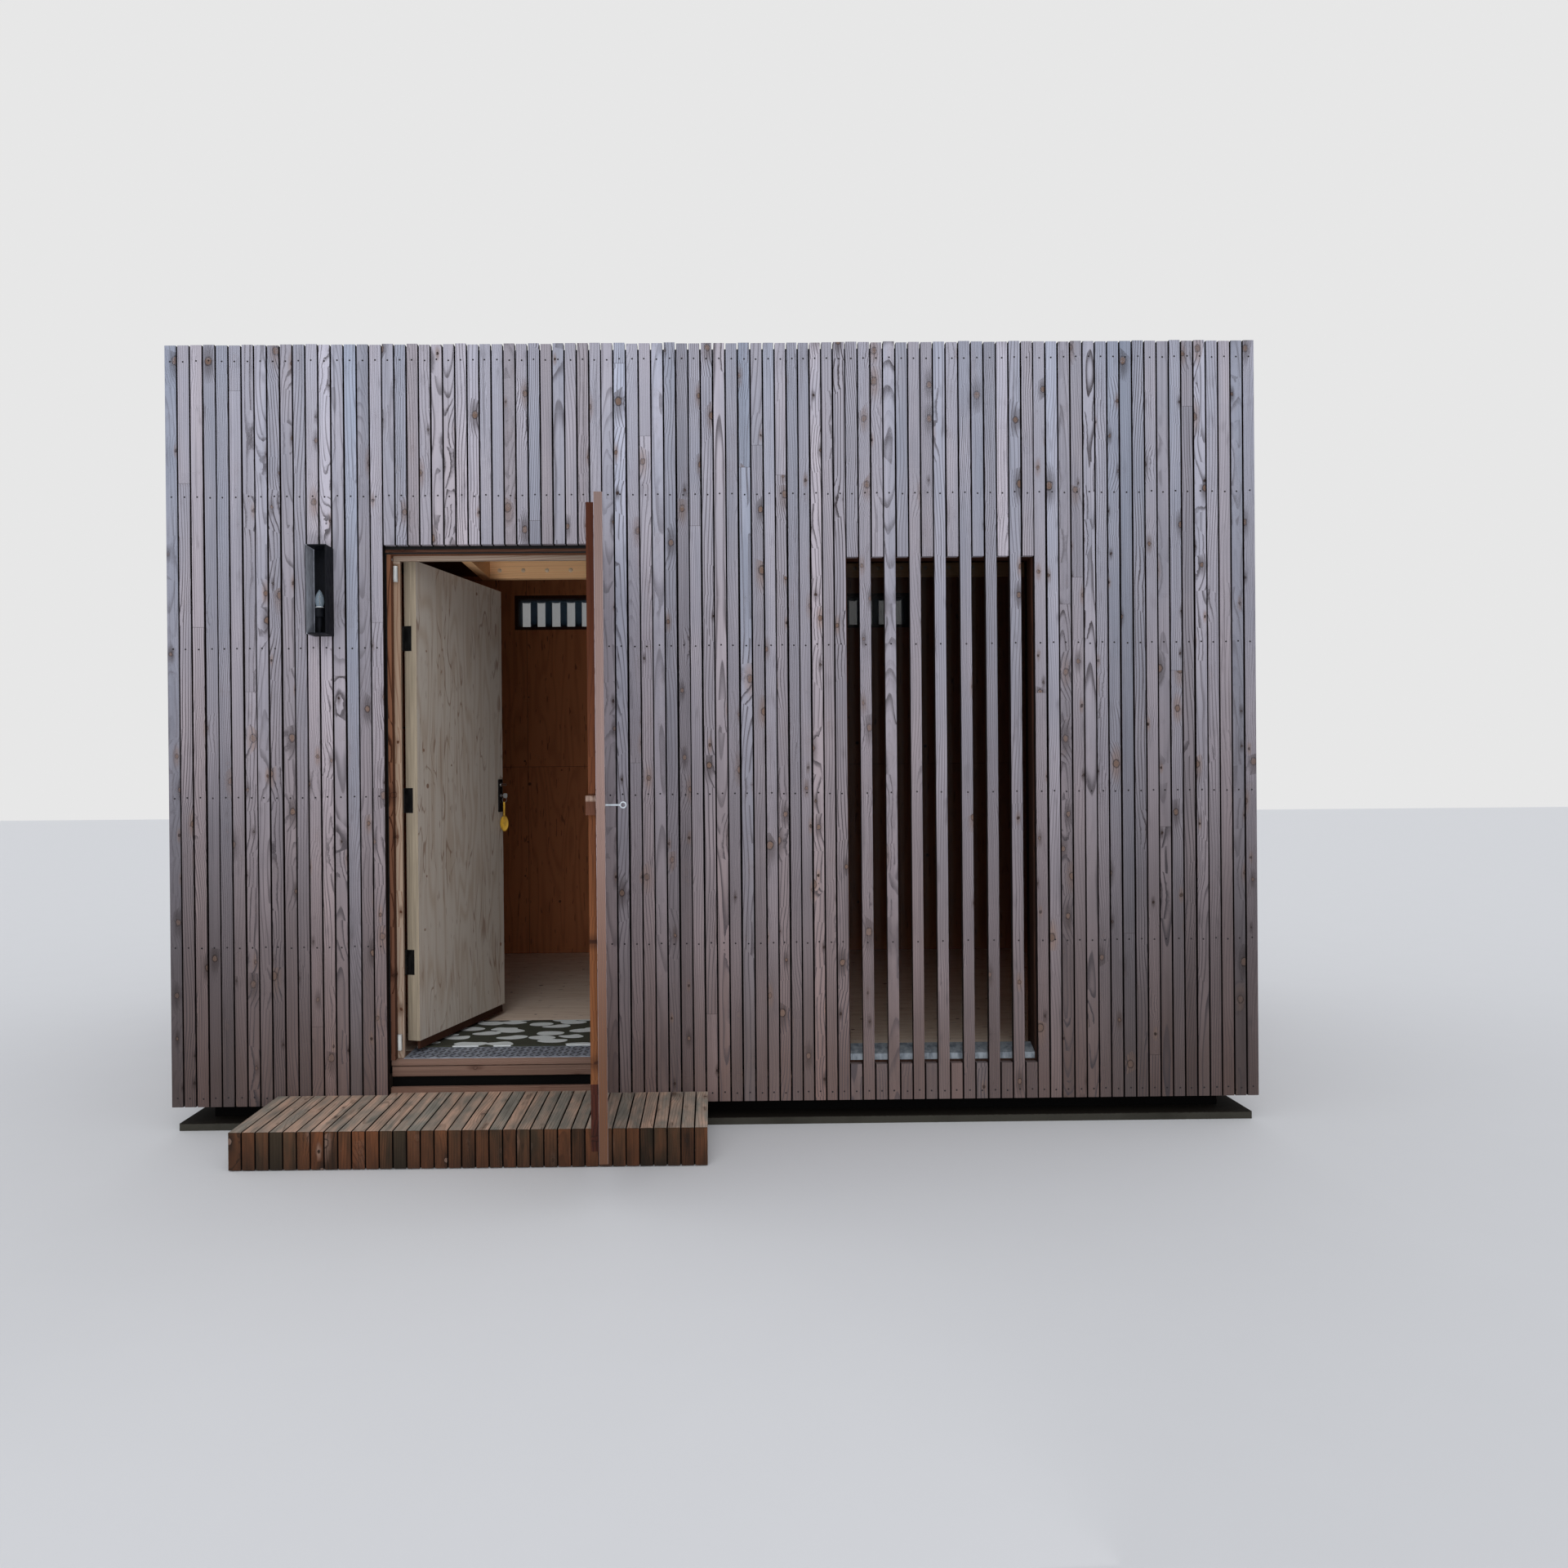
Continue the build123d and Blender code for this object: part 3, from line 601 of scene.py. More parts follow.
@dataclass(frozen=True)
class Metal:
    """Metal or painted metal with faint streaks, dust and small dents, and painted light over a thin slice along X."""

    name: str
    body: Tint
    dull: Tint
    metallic: float = 1.0
    roughness: float = 0.4
    scale: float = 60.0
    relief: float = 0.3 * MM
    painted_light: Tint = (178, 182, 194)
    painted_light_to: float = -FAR
    painted_light_slice: tuple[float, float] = (3.2 * MM, 3.6 * MM)
    specular: float = 0.5

    def make(self) -> Material:
        """Wires up the material.

        Returns:
            The material.
        """
        b = ShaderBench(self.name)
        x, y, z = b.parts(b.place())
        cloud = b.noise(b.vector(x * self.scale, y * self.scale, z * (self.scale * 0.4)), detail=4.0, rough=0.6)
        specks = b.noise(b.vector(x * 900, y * 900, z * 900), detail=1.0)
        share = (cloud.rise(0.35, 0.7) * 0.8 + (specks - 0.5) * 0.3).held()
        body = b.blend(share, self.body, self.dull)
        # Painted light: a light grey on the inner face of the lamp box's left cheek.
        if self.painted_light_to > -FAR:
            near, far = (self.painted_light_to - depth for depth in self.painted_light_slice)
            inner = x.rise(self.painted_light_to, self.painted_light_to - MM) * x.rise(far, near)
            body = b.blend(inner, body, b.shade(self.painted_light, share * 0.4 + 0.75))
        return b.finish(Base_Color=body, Metallic=self.metallic,
                        Roughness=(share * 0.25 + self.roughness).held(),
                        Normal=b.bump(cloud * 0.7 + specks * 0.3, self.relief, 0.5),
                        Specular_IOR_Level=self.specular)


@dataclass(frozen=True)
class Mineral:
    """Matt stuff with grit and stains, such as concrete, felt or membrane."""

    name: str
    body: Tint
    stain: Tint
    grit: Tint
    roughness: float = 0.9
    grain: float = 700.0
    relief: float = 1 * MM
    top_shade: Tint = (30, 26, 22)
    top_shade_from: float = FAR

    def make(self) -> Material:
        """Wires up the material.

        Returns:
            The material.
        """
        b = ShaderBench(self.name)
        here = b.place()
        stain = b.noise(here, 3.0, detail=5.0, rough=0.6).rise(0.4, 0.68)
        grit = b.noise(here, self.grain, detail=1.0)
        pits = b.noise(here, self.grain / 6, detail=2.0)
        body = b.blend(stain * 0.7, self.body, self.stain)
        body = b.blend(grit.rise(0.55, 0.75) * 0.6, body, self.grit)
        # Above top_shade_from the colour goes over to painted shade.
        level = b.parts(here)[2] + (pits - 0.5) * 0.006
        body = b.blend(level.rise(self.top_shade_from - 2 * MM, self.top_shade_from), body, self.top_shade)
        return b.finish(Base_Color=body, Roughness=self.roughness, Specular_IOR_Level=0.1,
                        Normal=b.bump(grit * 0.5 + pits * 0.5, self.relief, 0.6))


@dataclass(frozen=True)
class Pane:
    """Window or lamp glass: a thin dark or clear film that lets light through."""

    name: str
    body: Tint
    cover: float = 0.5
    foot_cover: float = 0.5
    foot_heights: tuple[float, float] = (0.4, 0.9)
    roughness: float = 0.03
    specular: float = 0.4

    def make(self) -> Material:
        """Wires up the material.

        Returns:
            The material.
        """
        b = ShaderBench(self.name)
        here = b.place()
        film = b.noise(here, 5.0, detail=3.0)
        cover = b.parts(here)[2].rise(*self.foot_heights) * (self.cover - self.foot_cover) + self.foot_cover
        return b.finish(Base_Color=self.body, Roughness=(film * 0.05 + self.roughness).held(),
                        Alpha=(film * 0.06 + cover - 0.03).held(), Specular_IOR_Level=self.specular)


@dataclass(frozen=True)
class WovenMat:
    """A flat woven mat with a plain blotchy pattern of two yarns."""

    name: str
    dark: Tint
    light: Tint
    spots: float = 6.0
    threads: float = 1500.0
    relief: float = 1.2 * MM

    def make(self) -> Material:
        """Wires up the material.

        Returns:
            The material.
        """
        b = ShaderBench(self.name)
        x, y, z = b.parts(b.place())
        ripple = b.noise(b.vector(x * 14, y * 14, 0.0), detail=0.0)
        near = b.cells(b.vector(x, y * 1.7 + ripple * 0.03, 0.0), self.spots, 0.85)
        blot = near + (ripple - 0.5) * 0.35
        weave = (x * self.threads).sine() * (y * self.threads).sine()
        yarn = b.noise(b.vector(x * 260, y * 90, z * 90), detail=2.0)
        body = b.blend(blot.rise(0.38, 0.36), self.dark, self.light)
        body = b.shade(body, 0.85 + weave * 0.12 + yarn * 0.3)
        return b.finish(Base_Color=body, Roughness=0.95, Normal=b.bump(weave * 0.5 + yarn * 0.5, self.relief, 0.6))


SILVER = (159, 167, 186)
LILAC = (178, 170, 178)
# The foot colours: darker partly by weathering and partly as painted shade.
UMBER = (101, 90, 89)
ROSE = (115, 93, 87)
LATE = (72, 66, 70)
KNOT = (52, 40, 36)


def battens(name: str, face: Axis = Axis.X, **changes: object) -> Timber:
    """The weathered larch of the cladding.

    Args:
        name: The material's name.
        face: The axis across the battens' broad faces.
        changes: Fields that differ from the usual.

    Returns:
        The finish.
    """
    return Timber(name, SILVER, LILAC, UMBER, ROSE, LATE, KNOT, face=face, **changes)


def joinery(name: str, *tints: Tint, stain_share: float = 0.1, **changes: object) -> Timber:
    """Wood in whole lengths, without a joint.

    Args:
        name: The material's name.
        tints: The colours in the order of Timber's fields: tops, feet, late wood, knots and the wood round them.
        stain_share: How strongly stains show.
        changes: Other fields that differ from the usual.

    Returns:
        The finish.
    """
    return Timber(name, *tints, joint_share=0.0, joint_run=60.0, stain_share=stain_share, **changes)


# Modelling moves


class Bench:
    """The moves in Blender that every piece is made with."""

    @staticmethod
    def clear() -> None:
        """Deselects everything."""
        bpy.ops.object.select_all(action="DESELECT")

    @staticmethod
    def choose(piece: Piece) -> Piece:
        """Selects one piece alone, for the next move.

        Args:
            piece: The piece.

        Returns:
            The same piece.
        """
        Bench.clear()
        piece.select_set(True)
        bpy.context.view_layer.objects.active = piece
        return piece

    @staticmethod
    def settle(piece: Piece) -> Piece:
        """Puts a piece's place and size into its mesh.

        Args:
            piece: The piece.

        Returns:
            The same piece.
        """
        Bench.choose(piece)
        bpy.ops.object.transform_apply(location=True, rotation=True, scale=True)
        return piece

    @staticmethod
    def block(name: str, low: Point, high: Point) -> Piece:
        """Adds a cube primitive between two corners.

        Args:
            name: The piece's name.
            low: Its lowest corner.
            high: Its highest corner.

        Returns:
            The piece.
        """
        Bench.clear()
        a, b = Vector(low), Vector(high)
        bpy.ops.mesh.primitive_cube_add(size=1, location=(a + b) / 2)
        piece = bpy.context.active_object
        piece.name = name
        piece.scale = b - a
        return Bench.settle(piece)

    @staticmethod
    def pick(piece: Piece, kind: Pick, test: Callable[..., bool]) -> None:
        """Selects edges or faces by a test on their places, and stays in edit mode.

        Args:
            piece: The piece that is edited.
            kind: What is selected.
            test: Takes an edge's two ends, or a face's centre and normal.
        """
        Bench.choose(piece)
        bpy.ops.object.mode_set(mode="EDIT")
        bpy.ops.mesh.select_mode(type=kind.value)
        bpy.ops.mesh.select_all(action="DESELECT")
        bpy.ops.object.mode_set(mode="OBJECT")
        mesh = piece.data
        if kind is Pick.EDGE:
            for edge in mesh.edges:
                a, b = (mesh.vertices[index].co for index in edge.vertices)
                edge.select = test(a, b)
        else:
            for face in mesh.polygons:
                face.select = test(face.center, face.normal)
        bpy.ops.object.mode_set(mode="EDIT")

    @staticmethod
    def leave() -> None:
        """Goes back to object mode."""
        bpy.ops.object.mode_set(mode="OBJECT")

    @staticmethod
    def ease(piece: Piece, width: float, segments: int = 1,
             test: Callable[..., bool] | None = None) -> Piece:
        """Bevels edges, or all of them.

        Args:
            piece: The piece.
            width: The bevel's width.
            segments: How many facets it has.
            test: Picks the edges by their ends.

        Returns:
            The piece.
        """
        Bench.pick(piece, Pick.EDGE, test or (lambda a, b: True))
        bpy.ops.mesh.bevel(offset=width, segments=segments, affect="EDGES", clamp_overlap=True)
        Bench.leave()
        return piece

    @staticmethod
    def turned(name: str, profile: Profile, facets: int = 20) -> Piece:
        """Turns a round piece upright on the origin: a disc, extruded and resized ring by ring.

        Args:
            name: The piece's name.
            profile: Radius and height of each ring, from the foot up.
            facets: How many sides it has.

        Returns:
            The piece.
        """
        Bench.clear()
        radius, foot = profile[0]
        bpy.ops.mesh.primitive_circle_add(vertices=facets, radius=radius, fill_type="NGON", location=(0, 0, 0))
        piece = bpy.context.active_object
        piece.name = name
        bpy.ops.object.mode_set(mode="EDIT")
        bpy.ops.mesh.select_mode(type="FACE")
        bpy.ops.mesh.select_all(action="SELECT")
        bpy.ops.transform.translate(value=(0, 0, foot))
        for (before, low), (after, high) in zip(profile, profile[1:]):
            bpy.ops.mesh.extrude_region_move(TRANSFORM_OT_translate={"value": (0, 0, high - low)})
            share = after / before
            bpy.ops.transform.resize(value=(share, share, 1), center_override=(0, 0, high))
        bpy.ops.mesh.select_all(action="SELECT")
        bpy.ops.mesh.normals_make_consistent(inside=False)
        Bench.leave()
        return piece

    @staticmethod
    def copy(pattern: Piece, name: str) -> Piece:
        """Copies a pattern with a mesh of its own.

        Args:
            pattern: What is copied.
            name: The copy's name.

        Returns:
            The copy.
        """
        made = pattern.copy()
        made.data = pattern.data.copy()
        made.name = name
        bpy.context.scene.collection.objects.link(made)
        return made

    @staticmethod
    def spot(place: Sequence[float], degrees: float = 0.0, axis: str = "Z") -> Matrix:
        """A turn about the origin, and then a move to a place.

        Args:
            place: The place.
            degrees: How far it turns.
            axis: What it turns about.

        Returns:
            The two as one matrix.
        """
        return Matrix.Translation(place) @ Matrix.Rotation(math.radians(degrees), 4, axis)

    @staticmethod
    def move(piece: Piece, matrix: Matrix) -> Piece:
        """Moves or turns a piece's mesh, with its object left at the origin.

        Args:
            piece: The piece.
            matrix: The turn and the move.

        Returns:
            The same piece.
        """
        piece.data.transform(matrix)
        piece.data.update()
        return piece

    @staticmethod
    def join(pieces: Sequence[Piece], name: str) -> Piece:
        """Joins pieces into one object.

        Args:
            pieces: What is joined.
            name: The joined piece's name.

        Returns:
            The joined piece.
        """
        Bench.clear()
        for piece in pieces:
            piece.select_set(True)
        bpy.context.view_layer.objects.active = pieces[0]
        if len(pieces) > 1:
            bpy.ops.object.join()
        pieces[0].name = name
        pieces[0].data.name = name
        return pieces[0]

    @staticmethod
    def drop(piece: Piece) -> None:
        """Deletes a pattern that has been copied."""
        bpy.data.objects.remove(piece)

    @staticmethod
    def smooth(piece: Piece, degrees: float = 35.0) -> Piece:
        """Shades a piece smooth except across sharp edges.

        Args:
            piece: The piece.
            degrees: The least angle of a sharp edge.

        Returns:
            The same piece.
        """
        Bench.choose(piece)
        bpy.ops.object.shade_smooth_by_angle(angle=math.radians(degrees))
        return piece


def dress(piece: Piece, finish: Material, body: Body, *nodes: str) -> Piece:
    """Gives a new piece its finish and its body, and says what it stands for.

    Args:
        piece: The piece.
        finish: Its material.
        body: What it rides on.
        nodes: The CAD nodes that it replaces.

    Returns:
        The piece.
    """
    piece.data.materials.clear()
    piece.data.materials.append(finish)
    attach(piece, body.value)
    if nodes:
        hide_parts(*nodes)
    log.info("%s: %d faces", piece.name, len(piece.data.polygons))
    return piece


def coat(finish: Material, *nodes: str) -> None:
    """Gives CAD nodes their finish.

    Args:
        finish: The material.
        nodes: The nodes that get it.
    """
    for node in nodes:
        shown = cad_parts[node]
        shown.data.materials.clear()
        shown.data.materials.append(finish)
        log.info("%s: %s", node, finish.name)


@dataclass(frozen=True)
class Board:
    """One board's place, and how far it differs from a straight one."""

    low: Point
    high: Point
    bow: float = 0.0
    mitre: float = 0.0


@dataclass
class BoardYard:
    """Cuts boards from one bevelled pattern, each a copy with its own mesh and look.

    Most boards are cut beside the tree's heart and the rest through it, and the two pairs of reaches say how far off
    the heart then lies, along the board's face and across it.
    """

    run: Axis
    face: Axis
    seed: int
    chamfer: float = 1.2 * MM
    cuts: int = 5
    spread: float = 1.0
    half_wide: float = 0.020
    half_thick: float = 0.015
    rift_share: float = 0.82
    beside_heart: tuple[tuple[float, float], ...] = ((0.025, 0.09), (0.005, 0.04))
    through_heart: tuple[tuple[float, float], ...] = ((0.0, 0.02), (0.025, 0.09))
    dice: random.Random = field(init=False)
    pattern: Piece = field(init=False)

    def __post_init__(self) -> None:
        """Models the pattern: a board with its long edges eased and cut into lengths."""
        self.dice = random.Random(self.seed)
        corner = Vector((self.half_wide, self.half_thick, 0.5))
        piece = Bench.block("board_pattern", tuple(-corner), tuple(corner))
        Bench.ease(piece, self.chamfer, 1, lambda a, b: abs(a.z - b.z) > 0.5)
        Bench.pick(piece, Pick.EDGE, lambda a, b: abs(a.z - b.z) > 0.5)
        bpy.ops.mesh.subdivide(number_cuts=self.cuts)
        Bench.leave()
        for name in ("board", "heart"):
            piece.data.attributes.new(name, "FLOAT_VECTOR", "POINT")
        # rim 1 marks the side faces, which the finish paints dark as shade in the gaps
        rim = piece.data.attributes.new("rim", "FLOAT", "FACE")
        rim.data.foreach_set("value", [float(abs(face.normal.x) > 0.9) for face in piece.data.polygons])
        self.pattern = piece

    def cut(self, board: Board, tone: float | None = None, warmth: float | None = None,
            edge: Edge = Edge.NONE) -> Piece:
        """Cuts one board.

        Args:
            board: Its place.
            tone: Its lightness from -1 to 1, or None for a random one.
            warmth: Its warmth from -1 to 1, or None for a random one.
            edge: The edge that is as weathered as the face or freshly sawn.

        Returns:
            The board.
        """
        made = Bench.copy(self.pattern, "board")
        thick = Axis(3 - self.run.value - self.face.value)
        halves = {self.face: self.half_wide, thick: self.half_thick}
        sources = {self.face: 0, thick: 1, self.run: 2}
        for vertex in made.data.vertices:
            start = vertex.co.copy()
            share = start.z + 0.5
            spot = [0.0, 0.0, 0.0]
            for axis, half in halves.items():
                value = start[sources[axis]]
                low, high = board.low[axis.value], board.high[axis.value]
                spot[axis.value] = high - (half - value) if value > 0 else low + (half + value)
            spot[self.face.value] += board.bow * math.sin(math.pi * share)
            end = board.low[self.run.value]
            spot[self.run.value] = end + share * (board.high[self.run.value] - end)
            vertex.co = spot
        if (thick.value - self.face.value) % 3 == 2:  # the axes are swapped, which mirrors the pattern
            made.data.flip_normals()
        look = (self.dice.uniform(0.0, 40.0),
                self.dice.gauss(0.0, 0.5) * self.spread if tone is None else tone,
                self.dice.gauss(0.0, 0.5) * self.spread if warmth is None else warmth)
        heart = [(low + high) / 2 for low, high in zip(board.low, board.high)]
        reaches = self.beside_heart if self.dice.random() < self.rift_share else self.through_heart
        for axis, reach in zip((self.face, thick), reaches):
            heart[axis.value] += self.dice.choice((-1, 1)) * self.dice.uniform(*reach)
        for name, value in (("board", look), ("heart", heart)):
            made.data.attributes[name].data.foreach_set("vector", list(value) * len(made.data.vertices))
        side, value = edge.value
        middle = (board.low[self.face.value] + board.high[self.face.value]) / 2
        for face, rim in zip(made.data.polygons, made.data.attributes["rim"].data):
            if side and rim.value and (face.center[self.face.value] > middle) == (side > 0):
                rim.value = value
        return made

    def close(self) -> None:
        """Deletes the pattern."""
        Bench.drop(self.pattern)


# Sub-assemblies


@dataclass
class Cladding:
    """The upright battens round the pod, with their nails."""

    side: float = 2.1975
    depth: float = 3.06
    low: float = 0.101
    top: float = 3.167
    thick: float = 0.030
    gap: float = 0.005
    shadow: float = 0.0064
    shy: float = 0.6 * MM
    door_head: float = 2.358
    window_head: float = 2.298
    window_foot: float = 0.245
    strip_low: float = 2.417
    strip_high: float = 2.603
    strip_half: float = 1.2775
    door: tuple[float, float] = (-1.3315, -0.4455)
    window: tuple[float, float] = (0.5345, 1.3015)
    left_count: int = 17
    over_door_count: int = 18
    middle_count: int = 20
    middle_slim: Iterable[int] = range(13, 19)
    window_count: int = 15
    right_count: int = 18
    side_count: int = 60
    rear_indexes: Iterable[int] = range(-43, 44)
    rear_pitch: float = 0.05
    rear_half: float = 0.0214
    slim_share: float = 0.93
    width_shares: tuple[float, float] = (0.985, 1.015)
    ragged_top: float = 5 * MM
    bow_share: float = 0.5 * MM
    nail: Profile = ((0.0037, -0.6 * MM), (0.0037, 0.2 * MM), (0.0028, 0.5 * MM))
    nail_facets: int = 8
    nail_rows: tuple[float, ...] = (3.10, 2.554, 1.944, 1.344, 0.740, 0.135)
    nail_margin: float = 0.01
    nail_aside: float = 2 * MM
    nail_astray: float = 3 * MM
    dice: random.Random = field(default_factory=lambda: random.Random(11))

    def row(self, low: float, high: float, count: int, narrow: Iterable[int] = ()) -> list[tuple[float, float]]:
        """Shares a run out among battens of slightly different widths.

        Args:
            low: Where the run starts.
            high: Where it ends.
            count: How many battens it has.
            narrow: The battens that are narrower than the rest.

        Returns:
            The two edges of each batten.
        """
        slim = set(narrow)
        shares = [(self.slim_share if index in slim else 1.0) * self.dice.uniform(*self.width_shares)
                  for index in range(count)]
        unit = (high - low - (count - 1) * self.shadow) / sum(shares)
        edges, start = [], low
        for share in shares:
            edges.append((start, start + share * unit))
            start += share * unit + self.shadow
        return edges

    def upright(self, edges: tuple[float, float], face: Axis, at: tuple[float, float],
                low: float, high: float) -> Board:
        """One batten, its top a few millimetres off level and its length a little bowed.

        Args:
            edges: Its two edges along the wall.
            face: The axis along the wall.
            at: Its two faces across the wall.
            low: Its foot.
            high: Its top.

        Returns:
            The board.
        """
        if high >= self.top:
            high -= self.dice.uniform(0.0, self.ragged_top)
        if face is Axis.X:
            corners = (edges[0], at[0], low), (edges[1], at[1], high)
        else:
            corners = (at[0], edges[0], low), (at[1], edges[1], high)
        bow = self.dice.uniform(-1, 1) * self.bow_share * (high - low)
        at_corner = face is Axis.X and max(abs(edge) for edge in edges) > self.side - MM
        return Board(*corners, bow=0.0 if at_corner else bow)

    def nails(self, name: str, boards: Sequence[Board], face: Axis, outward: float) -> Piece:
        """One dark nail head on each batten where it crosses a rail.

        Args:
            name: The piece's name.
            boards: The battens.
            face: The axis along the wall.
            outward: 1 or -1, the way that the wall faces on the other axis.

        Returns:
            The nails as one piece.
        """
        pattern = Bench.turned("nail_pattern", self.nail, self.nail_facets)
        other = Axis.Y if face is Axis.X else Axis.X
        heads = []
        for board in boards:
            for level in self.nail_rows:
                z = level + self.dice.uniform(-1, 1) * self.nail_astray
                if not board.low[2] + self.nail_margin < z < board.high[2] - self.nail_margin:
                    continue
                spot = [0.0, 0.0, z]
                middle = (board.low[face.value] + board.high[face.value]) / 2
                share = (z - board.low[2]) / (board.high[2] - board.low[2])
                bow = board.bow * math.sin(math.pi * share)
                spot[face.value] = middle + bow + self.dice.uniform(-1, 1) * self.nail_aside
                spot[other.value] = board.high[other.value] if outward > 0 else board.low[other.value]
                heads.append(Bench.move(Bench.copy(pattern, "nail"), Bench.spot(spot, 90, face.name)))
        Bench.drop(pattern)
        return Bench.join(heads, name)

    def wall(self, name: str, boards: Sequence[Board], yard: BoardYard, finish: Material, *nodes: str) -> Piece:
        """Cuts and joins one field of battens, with weathered edges at the pod's corners.

        Args:
            name: The piece's name.
            boards: Its battens.
            yard: Where they are cut.
            finish: Their material.
            nodes: The CAD nodes that they replace.

        Returns:
            The field.
        """
        ends = {}
        if boards[0].low[yard.face.value] < -self.side + MM:
            ends[id(boards[0])] = Edge.LOW_WEATHERED
        if boards[-1].high[yard.face.value] > self.side - MM:
            ends[id(boards[-1])] = Edge.HIGH_WEATHERED
        cut = [yard.cut(board, edge=ends.get(id(board), Edge.NONE)) for board in boards]
        return dress(Bench.join(cut, name), finish, Body.POD, *nodes)

    def front(self, finish: Material, iron: Material) -> None:
        """The battens on the front, with the slats over the window.

        Args:
            finish: The battens' material.
            iron: The nails' material.
        """
        at = (-self.depth / 2, -self.depth / 2 + self.thick)
        yard = BoardYard(Axis.Z, Axis.X, seed=5)
        door_low, door_high = self.door
        window_low, window_high = self.window
        fields = {
            "battens_left": (self.row(-self.side, door_low, self.left_count), self.low),
            "battens_over_door": (self.row(door_low + self.gap, door_high - self.gap, self.over_door_count),
                                  self.door_head),
            "battens_middle": (self.row(door_high, window_low, self.middle_count, self.middle_slim), self.low),
            "battens_right": (self.row(window_high, self.side, self.right_count), self.low),
        }
        every: list[Board] = []
        for name, (edges, low) in fields.items():
            boards = [self.upright(pair, Axis.X, at, low, self.top) for pair in edges]
            self.wall(name, boards, yard, finish, "cladding_front")
            every += boards
        slats, short = [], []
        for index, pair in enumerate(self.row(window_low + self.gap, window_high - self.gap, self.window_count)):
            if index % 2:
                slats.append(self.upright(pair, Axis.X, at, self.low, self.top))
            else:
                short.append(self.upright(pair, Axis.X, at, self.window_head, self.top))
                short.append(self.upright(pair, Axis.X, at, self.low, self.window_foot))
        self.wall("battens_window_slats", slats, yard, finish, "window_slats")
        self.wall("battens_window_short", short, yard, finish, "window_short_battens")
        dress(self.nails("nails_front", every + slats + short, Axis.X, -1), iron, Body.POD)
        yard.close()

    def flanks(self, finish: Material, iron: Material) -> None:
        """The battens on both sides.

        Args:
            finish: The battens' material.
            iron: The nails' material.
        """
        yard = BoardYard(Axis.Z, Axis.Y, seed=6, cuts=3)
        reach = self.depth / 2 - self.thick
        for name, outward in (("left", -1), ("right", 1)):
            at = tuple(sorted((outward * (self.side - self.shy), outward * (self.side - self.thick))))
            boards = [self.upright(pair, Axis.Y, at, self.low, self.top)
                      for pair in self.row(-reach, reach, self.side_count)]
            self.wall(f"battens_side_{name}", boards, yard, finish, "cladding_sides")
            dress(self.nails(f"nails_side_{name}", boards, Axis.Y, outward), iron, Body.POD)
        yard.close()

    def rear(self, finish: Material, iron: Material) -> None:
        """The battens on the back, every other one running past the strip window.

        Args:
            finish: The battens' material.
            iron: The nails' material.
        """
        yard = BoardYard(Axis.Z, Axis.X, seed=7, cuts=3)
        at = (self.depth / 2 - self.thick, self.depth / 2 - self.shy)
        pitch, half = self.rear_pitch, self.rear_half
        boards, slats = [], []
        edges = [(index * pitch - half, index * pitch + half) for index in self.rear_indexes]
        edges = [(-self.side, edges[0][0] - self.gap), *edges, (edges[-1][1] + self.gap, self.side)]
        for index, pair in enumerate(edges):
            if abs(sum(pair) / 2) > self.strip_half - half:
                boards.append(self.upright(pair, Axis.X, at, self.low, self.top))
            elif index % 2:
                boards.append(self.upright(pair, Axis.X, at, self.low, self.strip_low))
                boards.append(self.upright(pair, Axis.X, at, self.strip_high, self.top))
            else:
                slats.append(self.upright(pair, Axis.X, at, self.low, self.top))
        self.wall("battens_rear", boards, yard, finish, "cladding_rear")
        self.wall("battens_rear_slats", slats, yard, finish, "rear_window_slats")
        dress(self.nails("nails_rear", boards + slats, Axis.X, 1), iron, Body.POD)
        yard.close()


@dataclass
class OuterDoor:
    """The clad outer leaf: its battens, cut as it hangs closed and turned open about the hinge."""

    left: float = -1.3255
    right: float = -0.4505
    front: float = -1.53
    thick: float = 0.030
    foot: float = 0.151
    top: float = 2.341
    count: int = 18
    nail_rows: tuple[float, ...] = (2.25, 1.85, 1.32, 0.72, 0.24)
    edge_tone: float = 0.1
    edge_warmth: float = 0.6

    def build(self, finish: Material, iron: Material) -> None:
        """Makes the battens and their nails.

        Args:
            finish: The battens' material.
            iron: The nails' material.
        """
        cladding = Cladding(nail_rows=self.nail_rows)
        yard = BoardYard(Axis.Z, Axis.X, seed=8)
        at = (self.front, self.front + self.thick)
        boards = [cladding.upright(pair, Axis.X, at, self.foot, self.top)
                  for pair in cladding.row(self.left, self.right, self.count)]
        cut = [yard.cut(boards[0], self.edge_tone, self.edge_warmth, Edge.LOW_SAWN), *map(yard.cut, boards[1:])]
        face = Bench.join(cut, "outer_leaf_battens")
        nails = cladding.nails("outer_leaf_nails", boards, Axis.X, -1)
        yard.close()
        dress(Bench.move(face, OUTER_SWING.turn()), finish, Body.OUTER, "outer_leaf_cladding")
        dress(Bench.move(nails, OUTER_SWING.turn()), iron, Body.OUTER)


